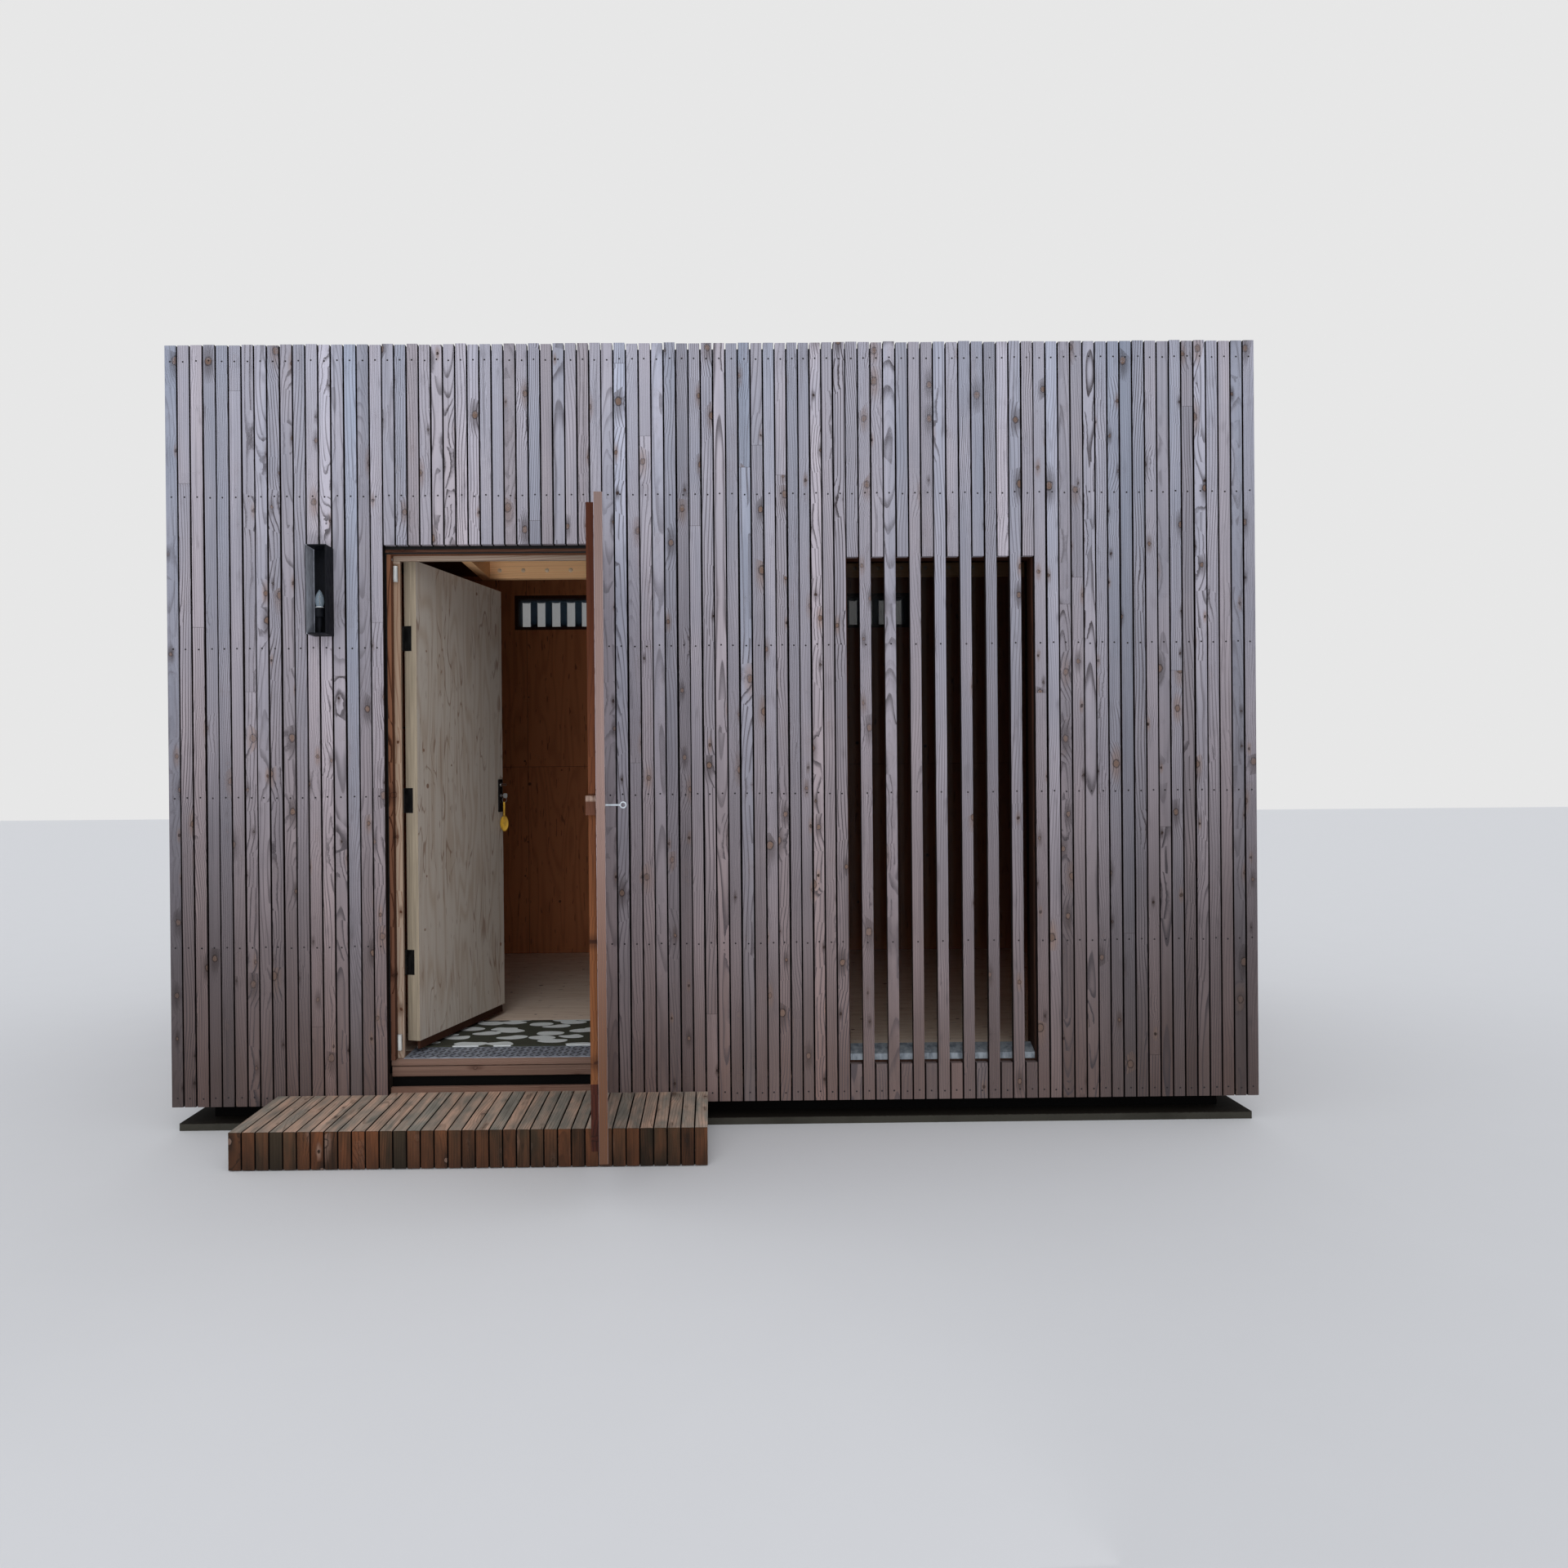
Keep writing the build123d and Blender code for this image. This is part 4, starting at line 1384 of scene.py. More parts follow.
@dataclass
class Step:
    """The slatted step: deck boards mitred into upright front boards, and a strip in the doorway."""

    left: float = -1.773
    right: float = -0.041
    front: float = -1.998
    back: float = -1.53
    top: float = 0.141
    thick: float = 0.022
    foot: float = 0.004
    tongue: float = 0.033
    strip_rise: float = 0.021
    door: tuple[float, float] = (-1.3275, -0.4495)
    count: int = 35
    gap: float = 0.005
    bow: float = 0.6 * MM
    touch: float = 0.1 * MM

    def build(self, deck: Material, fascia: Material, ledge: Material) -> None:
        """Makes the boards.

        Args:
            deck: The deck boards' material.
            fascia: The front boards' material.
            ledge: The material of the strip at the deck's back.
        """
        pitch = (self.right - self.left + self.gap) / self.count
        low = self.top - self.thick
        flat = BoardYard(Axis.Y, Axis.X, seed=21, spread=1.2)
        upright = BoardYard(Axis.Z, Axis.X, seed=22, cuts=1, spread=1.5)
        tops, fronts = [], []
        for index in range(self.count):
            x0 = self.left + index * pitch
            x1 = x0 + pitch - self.gap
            inside = x0 > self.door[0] and x1 < self.door[1]
            back = self.back + (self.tongue if inside else 0.0)
            bow = flat.dice.uniform(-1, 1) * self.bow
            top = flat.cut(Board((x0, self.front, low), (x1, back, self.top), bow=bow))
            self.mitre(top, lambda v: v.y < self.front + self.touch and v.z < low + 0.5 * self.thick,
                       lambda v: Vector((v.x, self.front + (self.top - v.z), v.z)))
            face = upright.cut(Board((x0, self.front, self.foot), (x1, self.front + self.thick, self.top)))
            self.mitre(face, lambda v: v.z > self.top - self.touch,
                       lambda v: Vector((v.x, v.y, self.top - (v.y - self.front))))
            tops.append(top)
            fronts.append(face)
        flat.close()
        upright.close()
        dress(Bench.join(tops, "step_deck_boards"), deck, Body.POD, "step_deck")
        dress(Bench.join(fronts, "step_front_boards"), fascia, Body.POD, "step_fascia")
        level = BoardYard(Axis.X, Axis.Z, seed=23, cuts=2)
        near = self.back + self.tongue
        strip = level.cut(Board((self.door[0], near, low),
                                (self.door[1], near + self.thick, self.top + self.strip_rise)))
        level.close()
        strip.name = "step_back_strip"
        dress(strip, ledge, Body.POD)

    @staticmethod
    def mitre(board: Piece, test: Callable[[Vector], bool], place: Callable[[Vector], Vector]) -> None:
        """Slopes a board's end.

        Args:
            board: The board.
            test: Picks the corners that move.
            place: Gives a corner's new place.
        """
        for vertex in board.data.vertices:
            if test(vertex.co):
                vertex.co = place(vertex.co)


@dataclass
class Doorway:
    """The sill's two boards, the checker plate, the bolts on the beam and the catch's knob."""

    left: float = -1.3315
    right: float = -0.4455
    front: float = -1.53
    sill_top: float = 0.272
    board_low: float = 0.243
    apron_low: float = 0.199
    sill_front: float = 0.060
    apron_back: float = 0.075
    apron_shy: float = 2 * MM
    apron_gap: float = 3 * MM
    room: float = 0.200
    head: float = 2.358
    # Black strips in front of the casing stand for the shade in its recess.
    strip_depths: tuple[float, float] = (0.0365, 0.0382)
    upper_shade_low: float = 2.346
    groove: tuple[float, float] = (2.328, 2.334)
    seal: float = 5 * MM
    plate_skin: float = 2.2 * MM
    plate_edge: float = 0.02
    lozenge: tuple[float, float] = (0.013, 0.0032)
    lozenge_top: tuple[float, float, float] = (0.62, 0.5, 1)
    lozenge_pitch: float = 0.0265
    bolt: Profile = ((0.0105, 0.0), (0.0105, 1.2 * MM), (0.0078, 1.6 * MM), (0.0072, 4.0 * MM), (0.0050, 5.6 * MM))
    bolt_first: Point = (-1.0478, -0.53, 2.439)
    bolt_pitch: float = 0.1165
    bolt_count: int = 26
    knob: Profile = ((0.004, 0.0), (0.004, 0.010), (0.0085, 0.012), (0.0095, 0.016), (0.0075, 0.021), (0.003, 0.023))
    knob_place: Point = (-1.316, -1.456, 2.309)

    def sill(self, finish: Material) -> None:
        """The nosing and the apron board under it.

        Args:
            finish: Their material.
        """
        near = self.front + self.sill_front
        yard = BoardYard(Axis.X, Axis.Y, seed=31, chamfer=2.0 * MM, cuts=3)
        nosing = Board((self.left, near, self.board_low), (self.right, self.front + self.room, self.sill_top))
        apron = Board((self.left + self.apron_shy, near + self.apron_gap, self.apron_low),
                      (self.right - self.apron_shy, self.front + self.apron_back, self.board_low - self.apron_gap))
        cut = [yard.cut(nosing, tone=0.35, edge=Edge.LOW_WEATHERED),
               yard.cut(apron, tone=-0.2, edge=Edge.LOW_WEATHERED)]
        yard.close()
        dress(Bench.join(cut, "door_sill_boards"), finish, Body.POD, "door_sill")

    def head_shade_strips(self, finish: Material) -> None:
        """Black strips as painted shade: over the casing, in a line lower down, and down its left edge.

        Args:
            finish: Their material.
        """
        near, far = (self.front + depth for depth in self.strip_depths)
        shade_line_low, shade_line_high = self.groove
        strips = [Bench.block("vent", (self.left, near, self.upper_shade_low), (self.right, far, self.head - 0.5 * MM)),
                  Bench.block("groove", (self.left, near, shade_line_low), (self.right, far, shade_line_high)),
                  Bench.block("seal", (self.left, near, self.sill_top), (self.left + self.seal, far, shade_line_low))]
        for strip in strips:
            Bench.ease(strip, 0.4 * MM)
        dress(Bench.join(strips, "casing_strips"), finish, Body.POD)

    def checker_plate(self, finish: Material, raised: Material) -> None:
        """A tread plate with raised lozenges in two directions.

        Args:
            finish: The plate's material.
            raised: The lozenges' material.
        """
        low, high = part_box("tread_plate")
        skin = low.z + self.plate_skin
        sheet = Bench.block("checker_plate", tuple(low), (high.x, high.y, skin))
        Bench.ease(sheet, 0.5 * MM)
        long, wide = self.lozenge
        rise = high.z - skin
        bar = Bench.block("lozenge", (-long, -wide, 0), (long, wide, rise))
        Bench.pick(bar, Pick.FACE, lambda centre, normal: normal.z > 0.9)
        bpy.ops.transform.resize(value=self.lozenge_top, center_override=(0, 0, rise))
        Bench.leave()
        width, length = high.x - low.x - self.plate_edge, high.y - low.y - self.plate_edge
        columns, rows = int(width / self.lozenge_pitch), int(length / self.lozenge_pitch)
        bars = []
        for column in range(columns):
            for row in range(rows):
                place = (low.x + self.plate_edge / 2 + (column + 0.5) * width / columns,
                         low.y + self.plate_edge / 2 + (row + 0.5) * length / rows, skin)
                bars.append(Bench.move(Bench.copy(bar, "bar"), Bench.spot(place, 45 if (column + row) % 2 else -45)))
        Bench.drop(bar)
        dress(sheet, finish, Body.POD, "tread_plate")
        dress(Bench.join(bars, "checker_lozenges"), raised, Body.POD, "tread_plate")

    def beam_bolts(self, finish: Material) -> None:
        """Domed bolt heads along the ceiling beam's front face.

        Args:
            finish: Their material.
        """
        pattern = Bench.turned("bolt_pattern", self.bolt, 14)
        x, y, z = self.bolt_first
        heads = [Bench.move(Bench.copy(pattern, "bolt"), Bench.spot((x + index * self.bolt_pitch, y, z), 90, "X"))
                 for index in range(self.bolt_count)]
        Bench.drop(pattern)
        dress(Bench.smooth(Bench.join(heads, "beam_bolts")), finish, Body.POD)

    def catch_knob(self, finish: Material) -> None:
        """The small knob over the upper catch."""
        knob = Bench.smooth(Bench.turned("catch_knob", self.knob, 16))
        dress(Bench.move(knob, Bench.spot(self.knob_place, 90, "X")), finish, Body.POD)


@dataclass
class WallLight:
    """The bulb with its collar and filament, in the wall light's open box."""

    foot: Point = (-1.570, -1.575, 2.099)
    bulb: Profile = ((0.0115, 0.0), (0.0130, 0.004), (0.0160, 0.014), (0.0178, 0.026), (0.0172, 0.038),
                     (0.0140, 0.050), (0.0090, 0.061), (0.0040, 0.069), (0.0012, 0.072))
    ring: Profile = ((0.0150, -0.006), (0.0164, -0.005), (0.0164, 0.003), (0.0135, 0.0048))
    coil: Profile = ((0.0016, 0.012), (0.0016, 0.040), (0.0030, 0.043), (0.0030, 0.048))

    def build(self, glass: Material, collar: Material, glow: Material) -> None:
        """Makes the bulb, its collar and its filament.

        Args:
            glass: The bulb's material.
            collar: The collar's material.
            glow: The filament's material.
        """
        spot = Bench.spot(self.foot)
        bulb = Bench.smooth(Bench.turned("bulb_glass", self.bulb, 24), 60)
        dress(Bench.move(bulb, spot), glass, Body.POD, "wall_light_bulb")
        ring = Bench.smooth(Bench.turned("bulb_collar", self.ring, 24))
        dress(Bench.move(ring, spot), collar, Body.POD)
        dress(Bench.move(Bench.turned("bulb_filament", self.coil, 8), spot), glow, Body.POD)


@dataclass
class Roof:
    """Welded laps on the roof sheet."""

    lap: float = 0.09
    count: int = 4
    border: float = 0.10
    shy: float = 0.004
    sunk: float = 0.001
    rise: float = 0.003
    border_rise: float = 0.0036
    chamfer: float = 1.2 * MM

    def build(self, felt: Material) -> None:
        """Makes the laps.

        Args:
            felt: Their material.
        """
        low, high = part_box("roof_membrane")
        foot = high.z - self.sunk
        runs = []
        for index in range(1, self.count):
            x = low.x + (high.x - low.x) * index / self.count
            runs.append(((x - self.lap / 2, low.y + self.shy, foot),
                         (x + self.lap / 2, high.y - self.shy, high.z + self.rise)))
        for y in (low.y, high.y - self.border):
            runs.append(((low.x, y, foot), (high.x, y + self.border, high.z + self.border_rise)))
        laps = [Bench.ease(Bench.block("lap", *corners), self.chamfer) for corners in runs]
        dress(Bench.join(laps, "roof_laps"), felt, Body.POD)


@dataclass
class Lever:
    """The inner leaf's lever, key and plain key tag, made on the closed leaf and turned with it."""

    x: float = -0.5195
    face: float = -1.431
    plate: float = 0.006
    neck: Profile = ((0.0095, 0.0), (0.0095, 0.004), (0.0060, 0.006), (0.0060, 0.026))
    neck_level: float = 1.386
    grip: tuple[Point, Point] = ((-0.060, -0.036, 1.382), (0.006, -0.028, 1.391))
    barrel: Profile = ((0.0085, 0.0), (0.0085, 0.0035), (0.0020, 0.0040), (0.0020, 0.012))
    barrel_level: float = 1.334
    bow: tuple[Point, Point] = ((-0.001, -0.040, 1.323), (0.001, -0.018, 1.345))
    disc: Profile = ((0.0180, -2.4 * MM), (0.0205, -1.2 * MM), (0.0205, 1.2 * MM), (0.0180, 2.4 * MM))
    disc_length: float = 1.88
    disc_level: float = 1.200
    disc_rim: float = 3.0 * MM
    disc_hollow: float = 0.8 * MM
    strap: tuple[float, float] = (1.232, 1.304)
    tag_depth: float = 0.0225
    tag_turn: float = 35.0
    ring_radius: float = 0.0115
    ring_wire: float = 0.0010
    ring_depth: float = 0.0245
    ring_level: float = 1.3135

    def build(self, steel: Material, tag: Material) -> None:
        """Makes the lever, the key, its ring and its tag.

        Args:
            steel: The metal parts' material.
            tag: The tag's material.
        """
        x, face, turn = self.x, self.face, INNER_SWING.turn()
        neck = Bench.turned("lever", self.neck, 16)
        Bench.move(neck, Bench.spot((x, face - self.plate, self.neck_level), 90, "X"))
        grip = Bench.ease(self.block("grip", self.grip), 3.0 * MM, 3)
        dress(Bench.move(Bench.smooth(Bench.join([neck, grip], "inner_leaf_lever")), turn), steel, Body.INNER)
        barrel = Bench.turned("key", self.barrel, 14)
        Bench.move(barrel, Bench.spot((x, face - self.plate, self.barrel_level), 90, "X"))
        bow = Bench.ease(self.block("bow", self.bow), 7 * MM, 4, lambda a, b: abs(a.x - b.x) > 1 * MM)
        dress(Bench.move(Bench.smooth(Bench.join([barrel, bow], "door_key")), turn), steel, Body.INNER)
        disc = self.oval_tag()
        bpy.ops.mesh.primitive_torus_add(major_radius=self.ring_radius, minor_radius=self.ring_wire,
                                         major_segments=24, minor_segments=6)
        ring = bpy.context.active_object
        ring.name = ring.data.name = "key_ring"
        Bench.settle(ring)
        Bench.move(ring, Bench.spot((x, face - self.ring_depth, self.ring_level), 90, "Y"))
        dress(Bench.move(ring, turn), steel, Body.INNER)
        dress(Bench.move(Bench.smooth(disc), turn), tag, Body.INNER)

    def block(self, name: str, corners: tuple[Point, Point]) -> Piece:
        """A block on the closed leaf's outside.

        Args:
            name: Its name.
            corners: Its corners, counted from the spindle, from the leaf's face and from the ground.

        Returns:
            The block.
        """
        low, high = ((self.x + aside, self.face + out, level) for aside, out, level in corners)
        return Bench.block(name, low, high)

    def oval_tag(self) -> Piece:
        """The plain oval tag on its strap, half turned so that it clears the outer leaf when both leaves are shut.

        Returns:
            The tag, on the closed leaf.
        """
        disc = Bench.turned("key_tag", self.disc, 32)
        Bench.pick(disc, Pick.FACE, lambda centre, normal: abs(normal.z) > 0.9)
        bpy.ops.mesh.inset(thickness=self.disc_rim, depth=-self.disc_hollow, use_individual=True)
        Bench.leave()
        oval = Matrix.Diagonal((self.disc_length, 1.0, 1.0, 1.0))
        Bench.move(disc, Bench.spot((0.0, 0.0, self.disc_level), 90, "Y") @ oval)
        low, high = self.strap
        strap = Bench.block("strap", (-1.2 * MM, -4 * MM, low), (1.2 * MM, 4 * MM, high))
        Bench.ease(strap, 0.5 * MM)
        hang = Bench.spot((self.x, self.face - self.tag_depth, 0.0), self.tag_turn)
        return Bench.move(Bench.join([disc, strap], "key_tag"), hang)


@dataclass
class Doormat:
    """A flat woven mat just inside the doorway."""

    width: float = 0.78
    length: float = 0.50
    place: Point = (-0.885, -1.032, 0.2735)
    thick: float = 0.005
    ripple: float = 0.0008
    ripple_count: int = 4

    def build(self, finish: Material) -> None:
        """Makes the mat, with low ripples.

        Args:
            finish: Its material.
        """
        Bench.clear()
        bpy.ops.mesh.primitive_grid_add(x_subdivisions=32, y_subdivisions=20, size=1, location=self.place)
        rug = bpy.context.active_object
        rug.name = "doorway_mat"
        rug.scale = (self.width, self.length, 1)
        Bench.settle(rug)
        dice = random.Random(3)
        ripples = [(dice.uniform(5, 16), dice.uniform(5, 16), dice.uniform(0, 6)) for _ in range(self.ripple_count)]
        for vertex in rug.data.vertices:
            wave = sum(math.sin(vertex.co.x * a + vertex.co.y * b + c) for a, b, c in ripples) / self.ripple_count
            vertex.co.z += self.ripple * (1 + wave)
        skin = rug.modifiers.new("pile", "SOLIDIFY")
        skin.thickness = self.thick
        skin.offset = 1.0
        Bench.choose(rug)
        bpy.ops.object.modifier_apply(modifier="pile")
        dress(rug, finish, Body.POD)


@dataclass
class Studio:
    """The camera at the photograph's angle, a pale floor and soft light. Angles are in radians but for the lamps'."""

    place: Point = (-0.01584, -6.0749, 1.39871)
    yaw: float = 0.01002
    pitch: float = -0.00329
    roll: float = -0.00863
    lens: float = 25.83
    sensor: float = 36.0
    shift: float = 0.0391
    floor_size: float = 80.0
    sky_colour: tuple[float, ...] = (0.93, 0.96, 1.0, 1.0)
    sky_level: float = 0.76
    sun_level: float = 0.64
    sun_angle: float = 50.0
    sun_way: Point = (0.02, 1.0, -0.85)
    fill_size: tuple[float, float] = (2.4, 1.2)
    fill_watts: float = 33.0
    fill_spread: float = 115.0
    fill_place: Point = (-0.5, -4.2, 0.12)
    fill_target: Point = (-0.6, -0.53, 2.5)

    def camera(self) -> None:
        """Sets up the camera."""
        ahead = Vector((math.sin(self.yaw) * math.cos(self.pitch), math.cos(self.yaw) * math.cos(self.pitch),
                        math.sin(self.pitch)))
        level = Vector((math.cos(self.yaw), -math.sin(self.yaw), 0.0))
        upright = level.cross(ahead)
        right = level * math.cos(self.roll) + upright * math.sin(self.roll)
        up = upright * math.cos(self.roll) - level * math.sin(self.roll)
        data = bpy.data.cameras.new("camera")
        data.lens = self.lens
        data.sensor_width = self.sensor
        data.shift_x = self.shift
        data.clip_end = 200.0
        camera = bpy.data.objects.new("camera", data)
        camera.matrix_world = Bench.spot(self.place) @ Matrix((right, up, -ahead)).transposed().to_4x4()
        bpy.context.scene.collection.objects.link(camera)
        bpy.context.scene.camera = camera

    def floor(self) -> None:
        """Lays a wide pale floor under the pod."""
        Bench.clear()
        bpy.ops.mesh.primitive_plane_add(size=self.floor_size, location=(0, 0, 0))
        ground = bpy.context.active_object
        ground.name = "studio_floor"
        b = ShaderBench("studio_floor")
        grain = b.noise(b.place(), 4.0, detail=3.0)
        colour = b.blend(grain * 0.3, (226, 226, 228), (220, 220, 222))
        ground.data.materials.append(b.finish(Base_Color=colour, Roughness=0.9))

    def sky(self) -> None:
        """Makes a plain bright sky that is white to the camera and in what metal and glass show."""
        world = bpy.data.worlds.new("sky")
        bpy.context.scene.world = world
        world.use_nodes = True
        tree = world.node_tree
        tree.nodes.clear()
        sky, white, rays, both, seen, mix, out = (tree.nodes.new(f"ShaderNode{kind}") for kind in (
            "Background", "Background", "LightPath", "Math", "Math", "MixShader", "OutputWorld"))
        sky.inputs["Color"].default_value = self.sky_colour
        sky.inputs["Strength"].default_value = self.sky_level
        white.inputs["Strength"].default_value = 1.0
        both.operation = seen.operation = "MAXIMUM"
        seen.use_clamp = True
        for source, target in ((rays.outputs["Is Camera Ray"], both.inputs[0]),
                               (rays.outputs["Is Glossy Ray"], both.inputs[1]),
                               (both.outputs[0], seen.inputs[0]),
                               (rays.outputs["Is Transmission Ray"], seen.inputs[1]),
                               (seen.outputs[0], mix.inputs[0]),
                               (sky.outputs[0], mix.inputs[1]),
                               (white.outputs[0], mix.inputs[2]),
                               (mix.outputs[0], out.inputs["Surface"])):
            tree.links.new(source, target)

    def lamps(self) -> None:
        """Hangs one wide soft sun and a low panel in front."""
        lamp = bpy.data.lights.new("soft_sun", "SUN")
        lamp.energy = self.sun_level
        lamp.angle = math.radians(self.sun_angle)
        sun = bpy.data.objects.new("soft_sun", lamp)
        panel = bpy.data.lights.new("low_fill", "AREA")
        panel.shape, panel.energy, panel.spread = "RECTANGLE", self.fill_watts, math.radians(self.fill_spread)
        panel.size, panel.size_y = self.fill_size
        fill = bpy.data.objects.new("low_fill", panel)
        fill.location = self.fill_place
        fill.visible_camera = fill.visible_glossy = False
        for light, way in ((sun, Vector(self.sun_way)), (fill, Vector(self.fill_target) - fill.location)):
            light.rotation_euler = way.to_track_quat("-Z", "Y").to_euler()
            bpy.context.scene.collection.objects.link(light)

    def build(self) -> None:
        """Sets up the whole studio."""
        self.camera()
        self.floor()
        self.sky()
        self.lamps()
        bpy.context.scene.view_settings.view_transform = "Standard"


def finish_nodes(iron: Material) -> None:
    """Gives the CAD nodes that stay in view their finishes.

    Args:
        iron: Black ironwork.
    """
    lamp_low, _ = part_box("wall_light_box")
    finishes = (
        (joinery("door_casing_pine", (118, 80, 58), (128, 84, 60), (88, 60, 48), (94, 62, 48), (58, 30, 16),
                 (46, 24, 14), (96, 60, 42), knot_share=0.2, top=2.4, level_from=2.327), "door_casing"),
        (joinery("door_frame_pine", (148, 120, 98), (154, 124, 98), (158, 142, 128), (162, 144, 128), (104, 66, 42),
                 (76, 44, 28), knot_share=0.2, ring_share=0.6, level_from=2.294), "door_frame", "door_stops"),
        # The open leaf's panel is darker towards the top: painted shade.
        (joinery("outer_leaf_pine", (70, 34, 20), (76, 38, 22), (104, 64, 38), (110, 70, 42), (52, 26, 16),
                 (46, 24, 15), (74, 40, 24), foot=0.4, top=2.0, ring_share=0.5, swing=OUTER_SWING),
         "outer_leaf_panel"),
        (joinery("block_pine", (156, 138, 128), (158, 136, 124), (78, 50, 38), (82, 50, 38), (60, 38, 28),
                 (66, 42, 30), (80, 52, 38), ring_share=0.4, foot=1.331, top=1.338, swing=OUTER_SWING),
         "outer_leaf_block"),
        (joinery("kick_rail_pine", (66, 31, 22), (72, 34, 24), (58, 27, 19), (62, 29, 21), (38, 18, 13),
                 (32, 15, 10), (60, 28, 20), swing=OUTER_SWING), "outer_leaf_kick_rail"),
        (joinery("beam_pine", (255, 204, 154), (255, 206, 152), (255, 204, 154), (255, 206, 152), (214, 164, 118),
                 (120, 72, 40), run=Axis.X, face=Axis.Z, ring_share=0.35, check_share=0.1, knot_share=0.15,
                 blotch_share=0.05), "ceiling_beams"),
        (joinery("window_pine", (64, 35, 24), (70, 38, 25), (46, 29, 22), (50, 31, 23), (32, 17, 12), (28, 16, 11),
                 (56, 32, 22)), "window_frame", "rear_window_frame"),
        (Plywood("wall_ply", (184, 114, 72), (154, 92, 56), (64, 32, 18), sheet_run=1.226, shift_run=0.272,
                 joint=0.003, knots=0.35), "wall_linings"),
        # The ceiling's plywood is painted much darker than the walls', as shade.
        (Plywood("ceiling_ply", (92, 58, 40), (72, 46, 32), (36, 22, 16), run=Axis.X, face=Axis.Y, joint=0.003),
         "ceiling_lining"),
        (Plywood("floor_ply", (244, 226, 208), (222, 198, 176), (104, 68, 46), run=Axis.X, face=Axis.Y, joint=0.002,
                 knots=0.6), "floor_deck"),
        (Plywood("leaf_ply", (203, 195, 185), (176, 158, 140), (124, 90, 68), sheet=3.0, sheet_run=3.0, shift=-2.0,
                 knots=0.2, vein_share=0.6, edge_to=-1.2925, swing=INNER_SWING), "inner_leaf"),
        (Mineral("wall_membrane", (14, 13, 13), (9, 8, 8), (22, 21, 21)),
         "front_wall_left", "front_wall_middle", "front_wall_right", "front_wall_over_door",
         "front_wall_over_window", "side_walls", "rear_wall", "roof_deck"),
        # Near black: the plinth and floor frame are painted as the shade in the recess under the cladding.
        (Mineral("plinth_block", (10, 9, 9), (7, 6, 6), (20, 19, 18)), "plinth", "floor_frame"),
        # The slab's top is painted dark as the shade under the cladding; its front edge keeps the concrete's colour.
        (Mineral("slab_concrete", (62, 60, 54), (42, 40, 35), (86, 84, 77), top_shade_from=0.0285), "ground_slab"),
        (Mineral("roof_felt", (74, 76, 80), (56, 60, 58), (104, 106, 110), relief=2 * MM), "roof_membrane"),
        (joinery("skirt_larch", (50, 42, 38), (58, 46, 38), (46, 38, 34), (52, 42, 34), (24, 20, 18), (20, 16, 14),
                 run=Axis.X, face=Axis.Z), "skirt_rails"),
        (joinery("joist_pine", (40, 30, 24), (46, 34, 26), (30, 24, 20), (34, 26, 20), (20, 15, 12), (18, 13, 11),
                 run=Axis.X, face=Axis.Z, foot=0.0, top=0.2), "step_joists"),
        (Metal("kerb_trim", (58, 60, 64), (76, 78, 80), metallic=0.6, roughness=0.5), "roof_kerb"),
        (Metal("flashing_zinc", (162, 170, 178), (88, 96, 106), metallic=0.55, roughness=0.4, scale=34.0,
               relief=3 * MM), "window_flashing"),
        (Metal("pull_zinc", (200, 208, 216), (160, 168, 176), metallic=0.5, roughness=0.3), "ring_pull"),
        (Metal("catch_plastic", (206, 208, 206), (168, 170, 170), metallic=0.0, roughness=0.45), "door_catches"),
        # The lamp box's left cheek has painted light on its inner face.
        (Metal("lamp_black", (10, 12, 17), (22, 24, 30), metallic=0.0, roughness=0.5,
               painted_light_to=lamp_low.x + 7 * MM, specular=0.12), "wall_light_box"),
        (Mineral("seal_brush", (58, 36, 28), (74, 48, 36), (40, 26, 22)), "inner_leaf_seal"),
        # A near-black film, mostly opaque above the foot, is painted shade of the room behind the window; it thins
        # towards the foot.
        (Pane("window_pane", (6, 7, 8), foot_cover=0.04, specular=0.1), "window_glass"),
        # The blue tint is painted sky light in the rear strip window.
        (Pane("strip_pane", (92, 122, 144), specular=0.35), "rear_window_glass"),
    )
    for finish, *nodes in finishes:
        coat(finish.make(), *nodes)
    coat(iron, "door_hinges", "outer_leaf_hinges", "inner_leaf_hinges", "inner_leaf_lock")


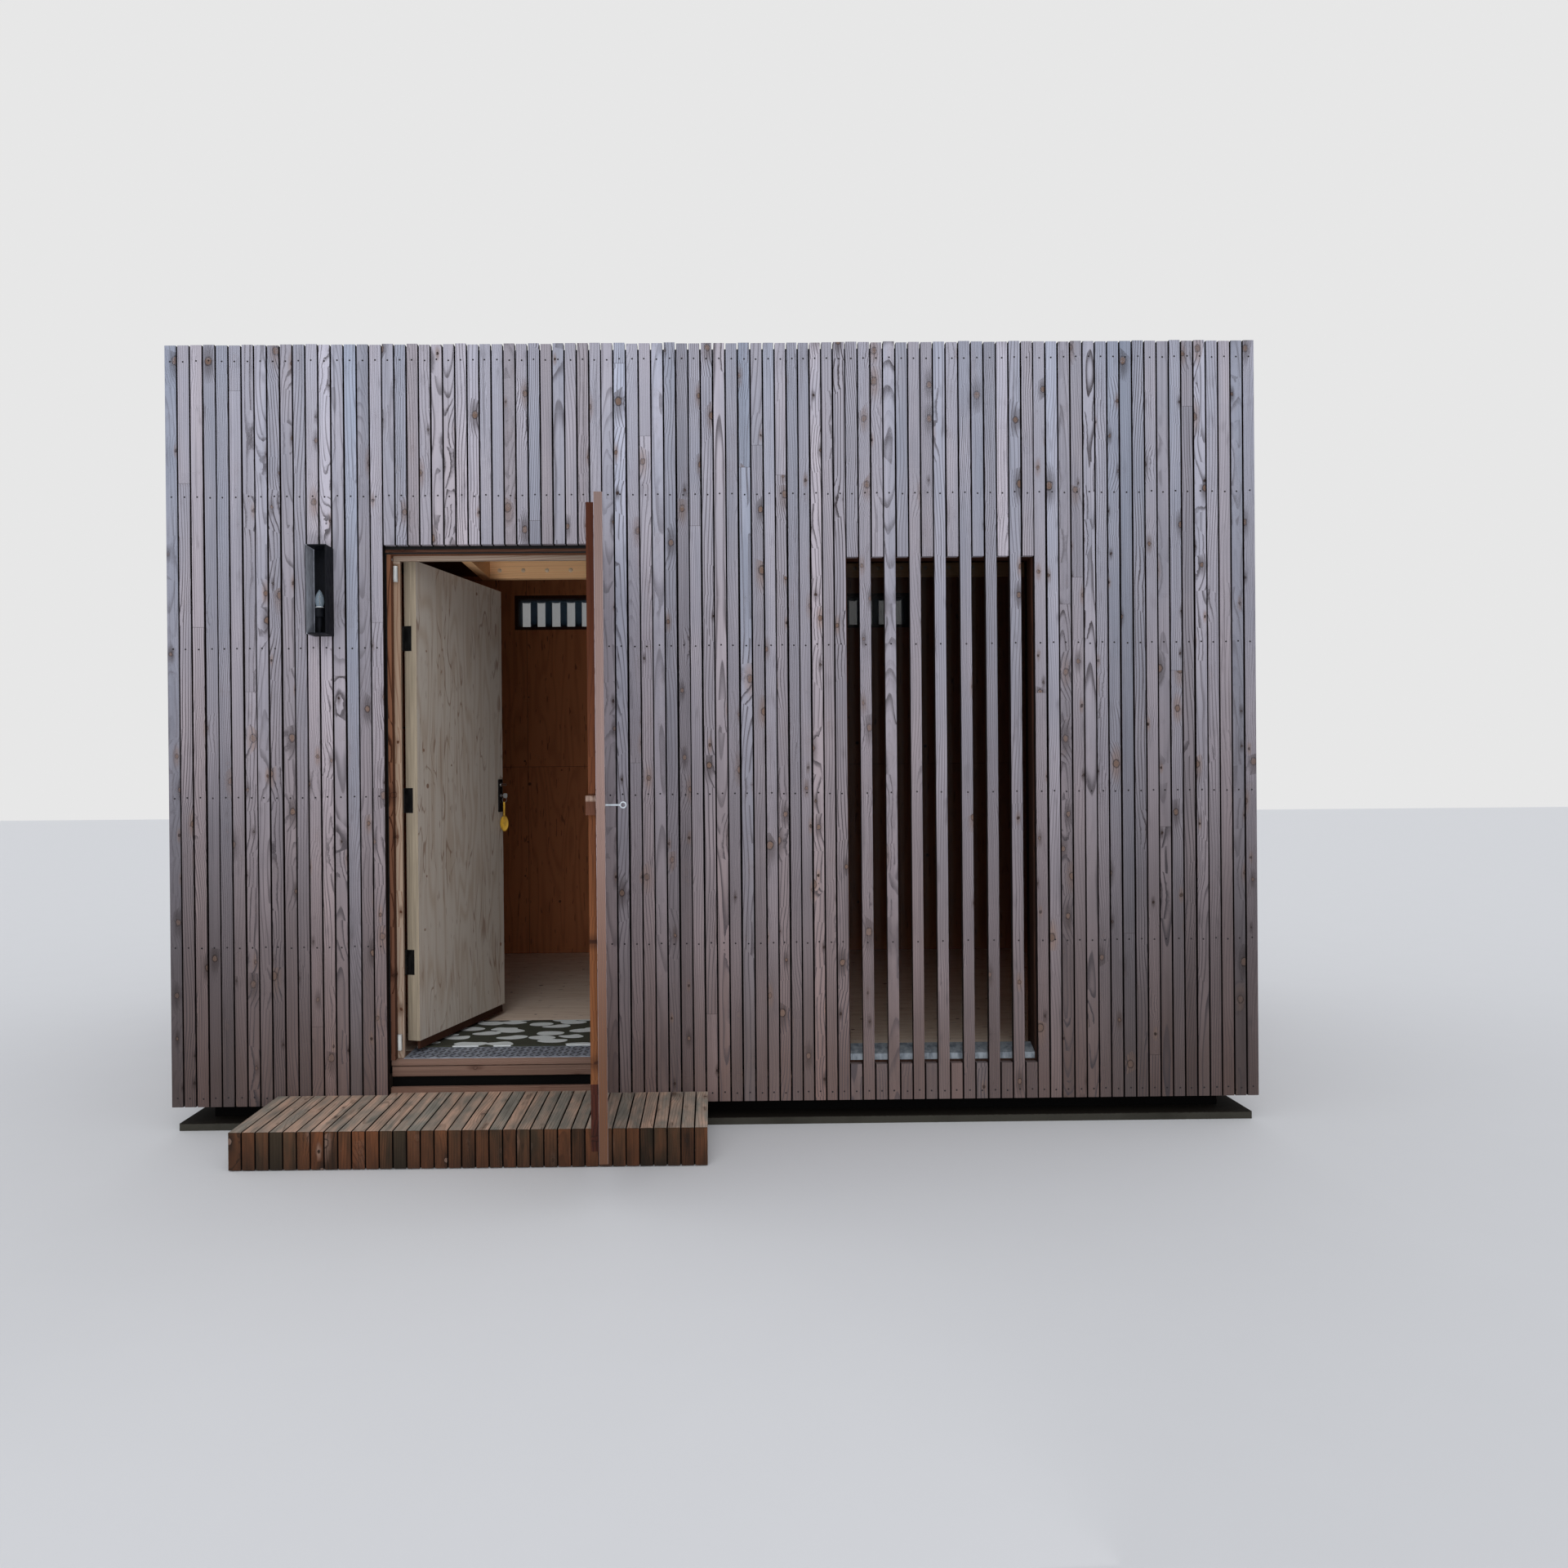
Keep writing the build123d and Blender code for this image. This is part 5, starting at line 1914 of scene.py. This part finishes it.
def main() -> None:
    """Builds the whole dressed pod."""
    logging.basicConfig(level=logging.INFO, format="%(name)s: %(message)s")
    Studio().build()
    iron = Metal("black_iron", (18, 18, 19), (40, 38, 38), metallic=0.5, roughness=0.5).make()
    rust = Metal("nail_iron", (30, 27, 32), (50, 42, 42), metallic=0.3, roughness=0.7).make()
    steel = Metal("bright_steel", (206, 210, 214), (160, 164, 168), roughness=0.3).make()
    front = battens("larch_front", corner_share=0.42).make()
    cladding = Cladding()
    cladding.front(front, rust)
    cladding.flanks(battens("larch_sides", Axis.Y).make(), rust)
    cladding.rear(front, rust)
    OuterDoor().build(battens("larch_leaf", swing=OUTER_SWING).make(), rust)
    # The dark side colours paint shade on the edges in the gaps between boards.
    deck = joinery("step_deck_larch", (150, 146, 136), (190, 158, 138), (150, 146, 136), (190, 158, 138),
                   (78, 60, 48), (52, 36, 28), side=(22, 15, 12), run=Axis.Y, knot_share=0.2, ring_share=0.55,
                   tone_share=0.16, blotch_share=1.1, streak_share=0.35, stain_share=0.9, mottle=2.4, patch=3.0)
    fascia = joinery("step_front_larch", (52, 42, 30), (94, 56, 34), (36, 28, 20), (72, 42, 26), (26, 18, 12),
                     (24, 16, 12), side=(16, 11, 9), foot=0.0, top=0.14, tone_share=0.3, blotch_share=0.9,
                     streak_share=0.3, stain_share=0.9, mottle=1.4, patch=3.0, ring_share=0.6)
    red = joinery("threshold_hardwood", (124, 104, 95), (130, 104, 91), (108, 85, 74), (114, 85, 72), (84, 54, 42),
                  (60, 36, 28), side=(130, 100, 86), run=Axis.X, face=Axis.Z, foot=0.15, top=0.28, knot_share=0.3,
                  streak_share=0.4, blotch_share=0.5, stain_share=0.4, ring_gap=5 * MM).make()
    Step().build(deck.make(), fascia.make(), red)
    doorway = Doorway()
    doorway.sill(red)
    doorway.head_shade_strips(iron)
    tread = Metal("tread_aluminium", (176, 184, 198), (124, 132, 146), metallic=0.3, roughness=0.45, scale=30.0)
    # The lozenges are darker than the plate.
    doorway.checker_plate(tread.make(), Metal("lozenge_dirt", (78, 80, 86), (48, 48, 52), metallic=0.3).make())
    zinc = Metal("bolt_zinc", (244, 222, 192), (206, 184, 156), metallic=0.2, roughness=0.25)
    doorway.beam_bolts(zinc.make())
    doorway.catch_knob(steel)
    white = Metal("bulb_collar_white", (214, 218, 222), (190, 194, 198), metallic=0.0)
    WallLight().build(Pane("bulb_pane", (150, 166, 180), cover=0.42, foot_cover=0.42, specular=0.6).make(),
                      white.make(), Metal("bulb_filament_brass", (170, 140, 90), (120, 96, 60)).make())
    Roof().build(Mineral("lap_felt", (82, 84, 88), (62, 66, 64), (108, 110, 114), relief=2 * MM).make())
    Lever().build(steel, Metal("tag_amber", (206, 160, 46), (150, 112, 36), metallic=0.0, roughness=0.45).make())
    Doormat().build(WovenMat("mat_yarn", (64, 66, 54), (232, 238, 238)).make())
    finish_nodes(iron)


if __name__ == "__main__":
    main()
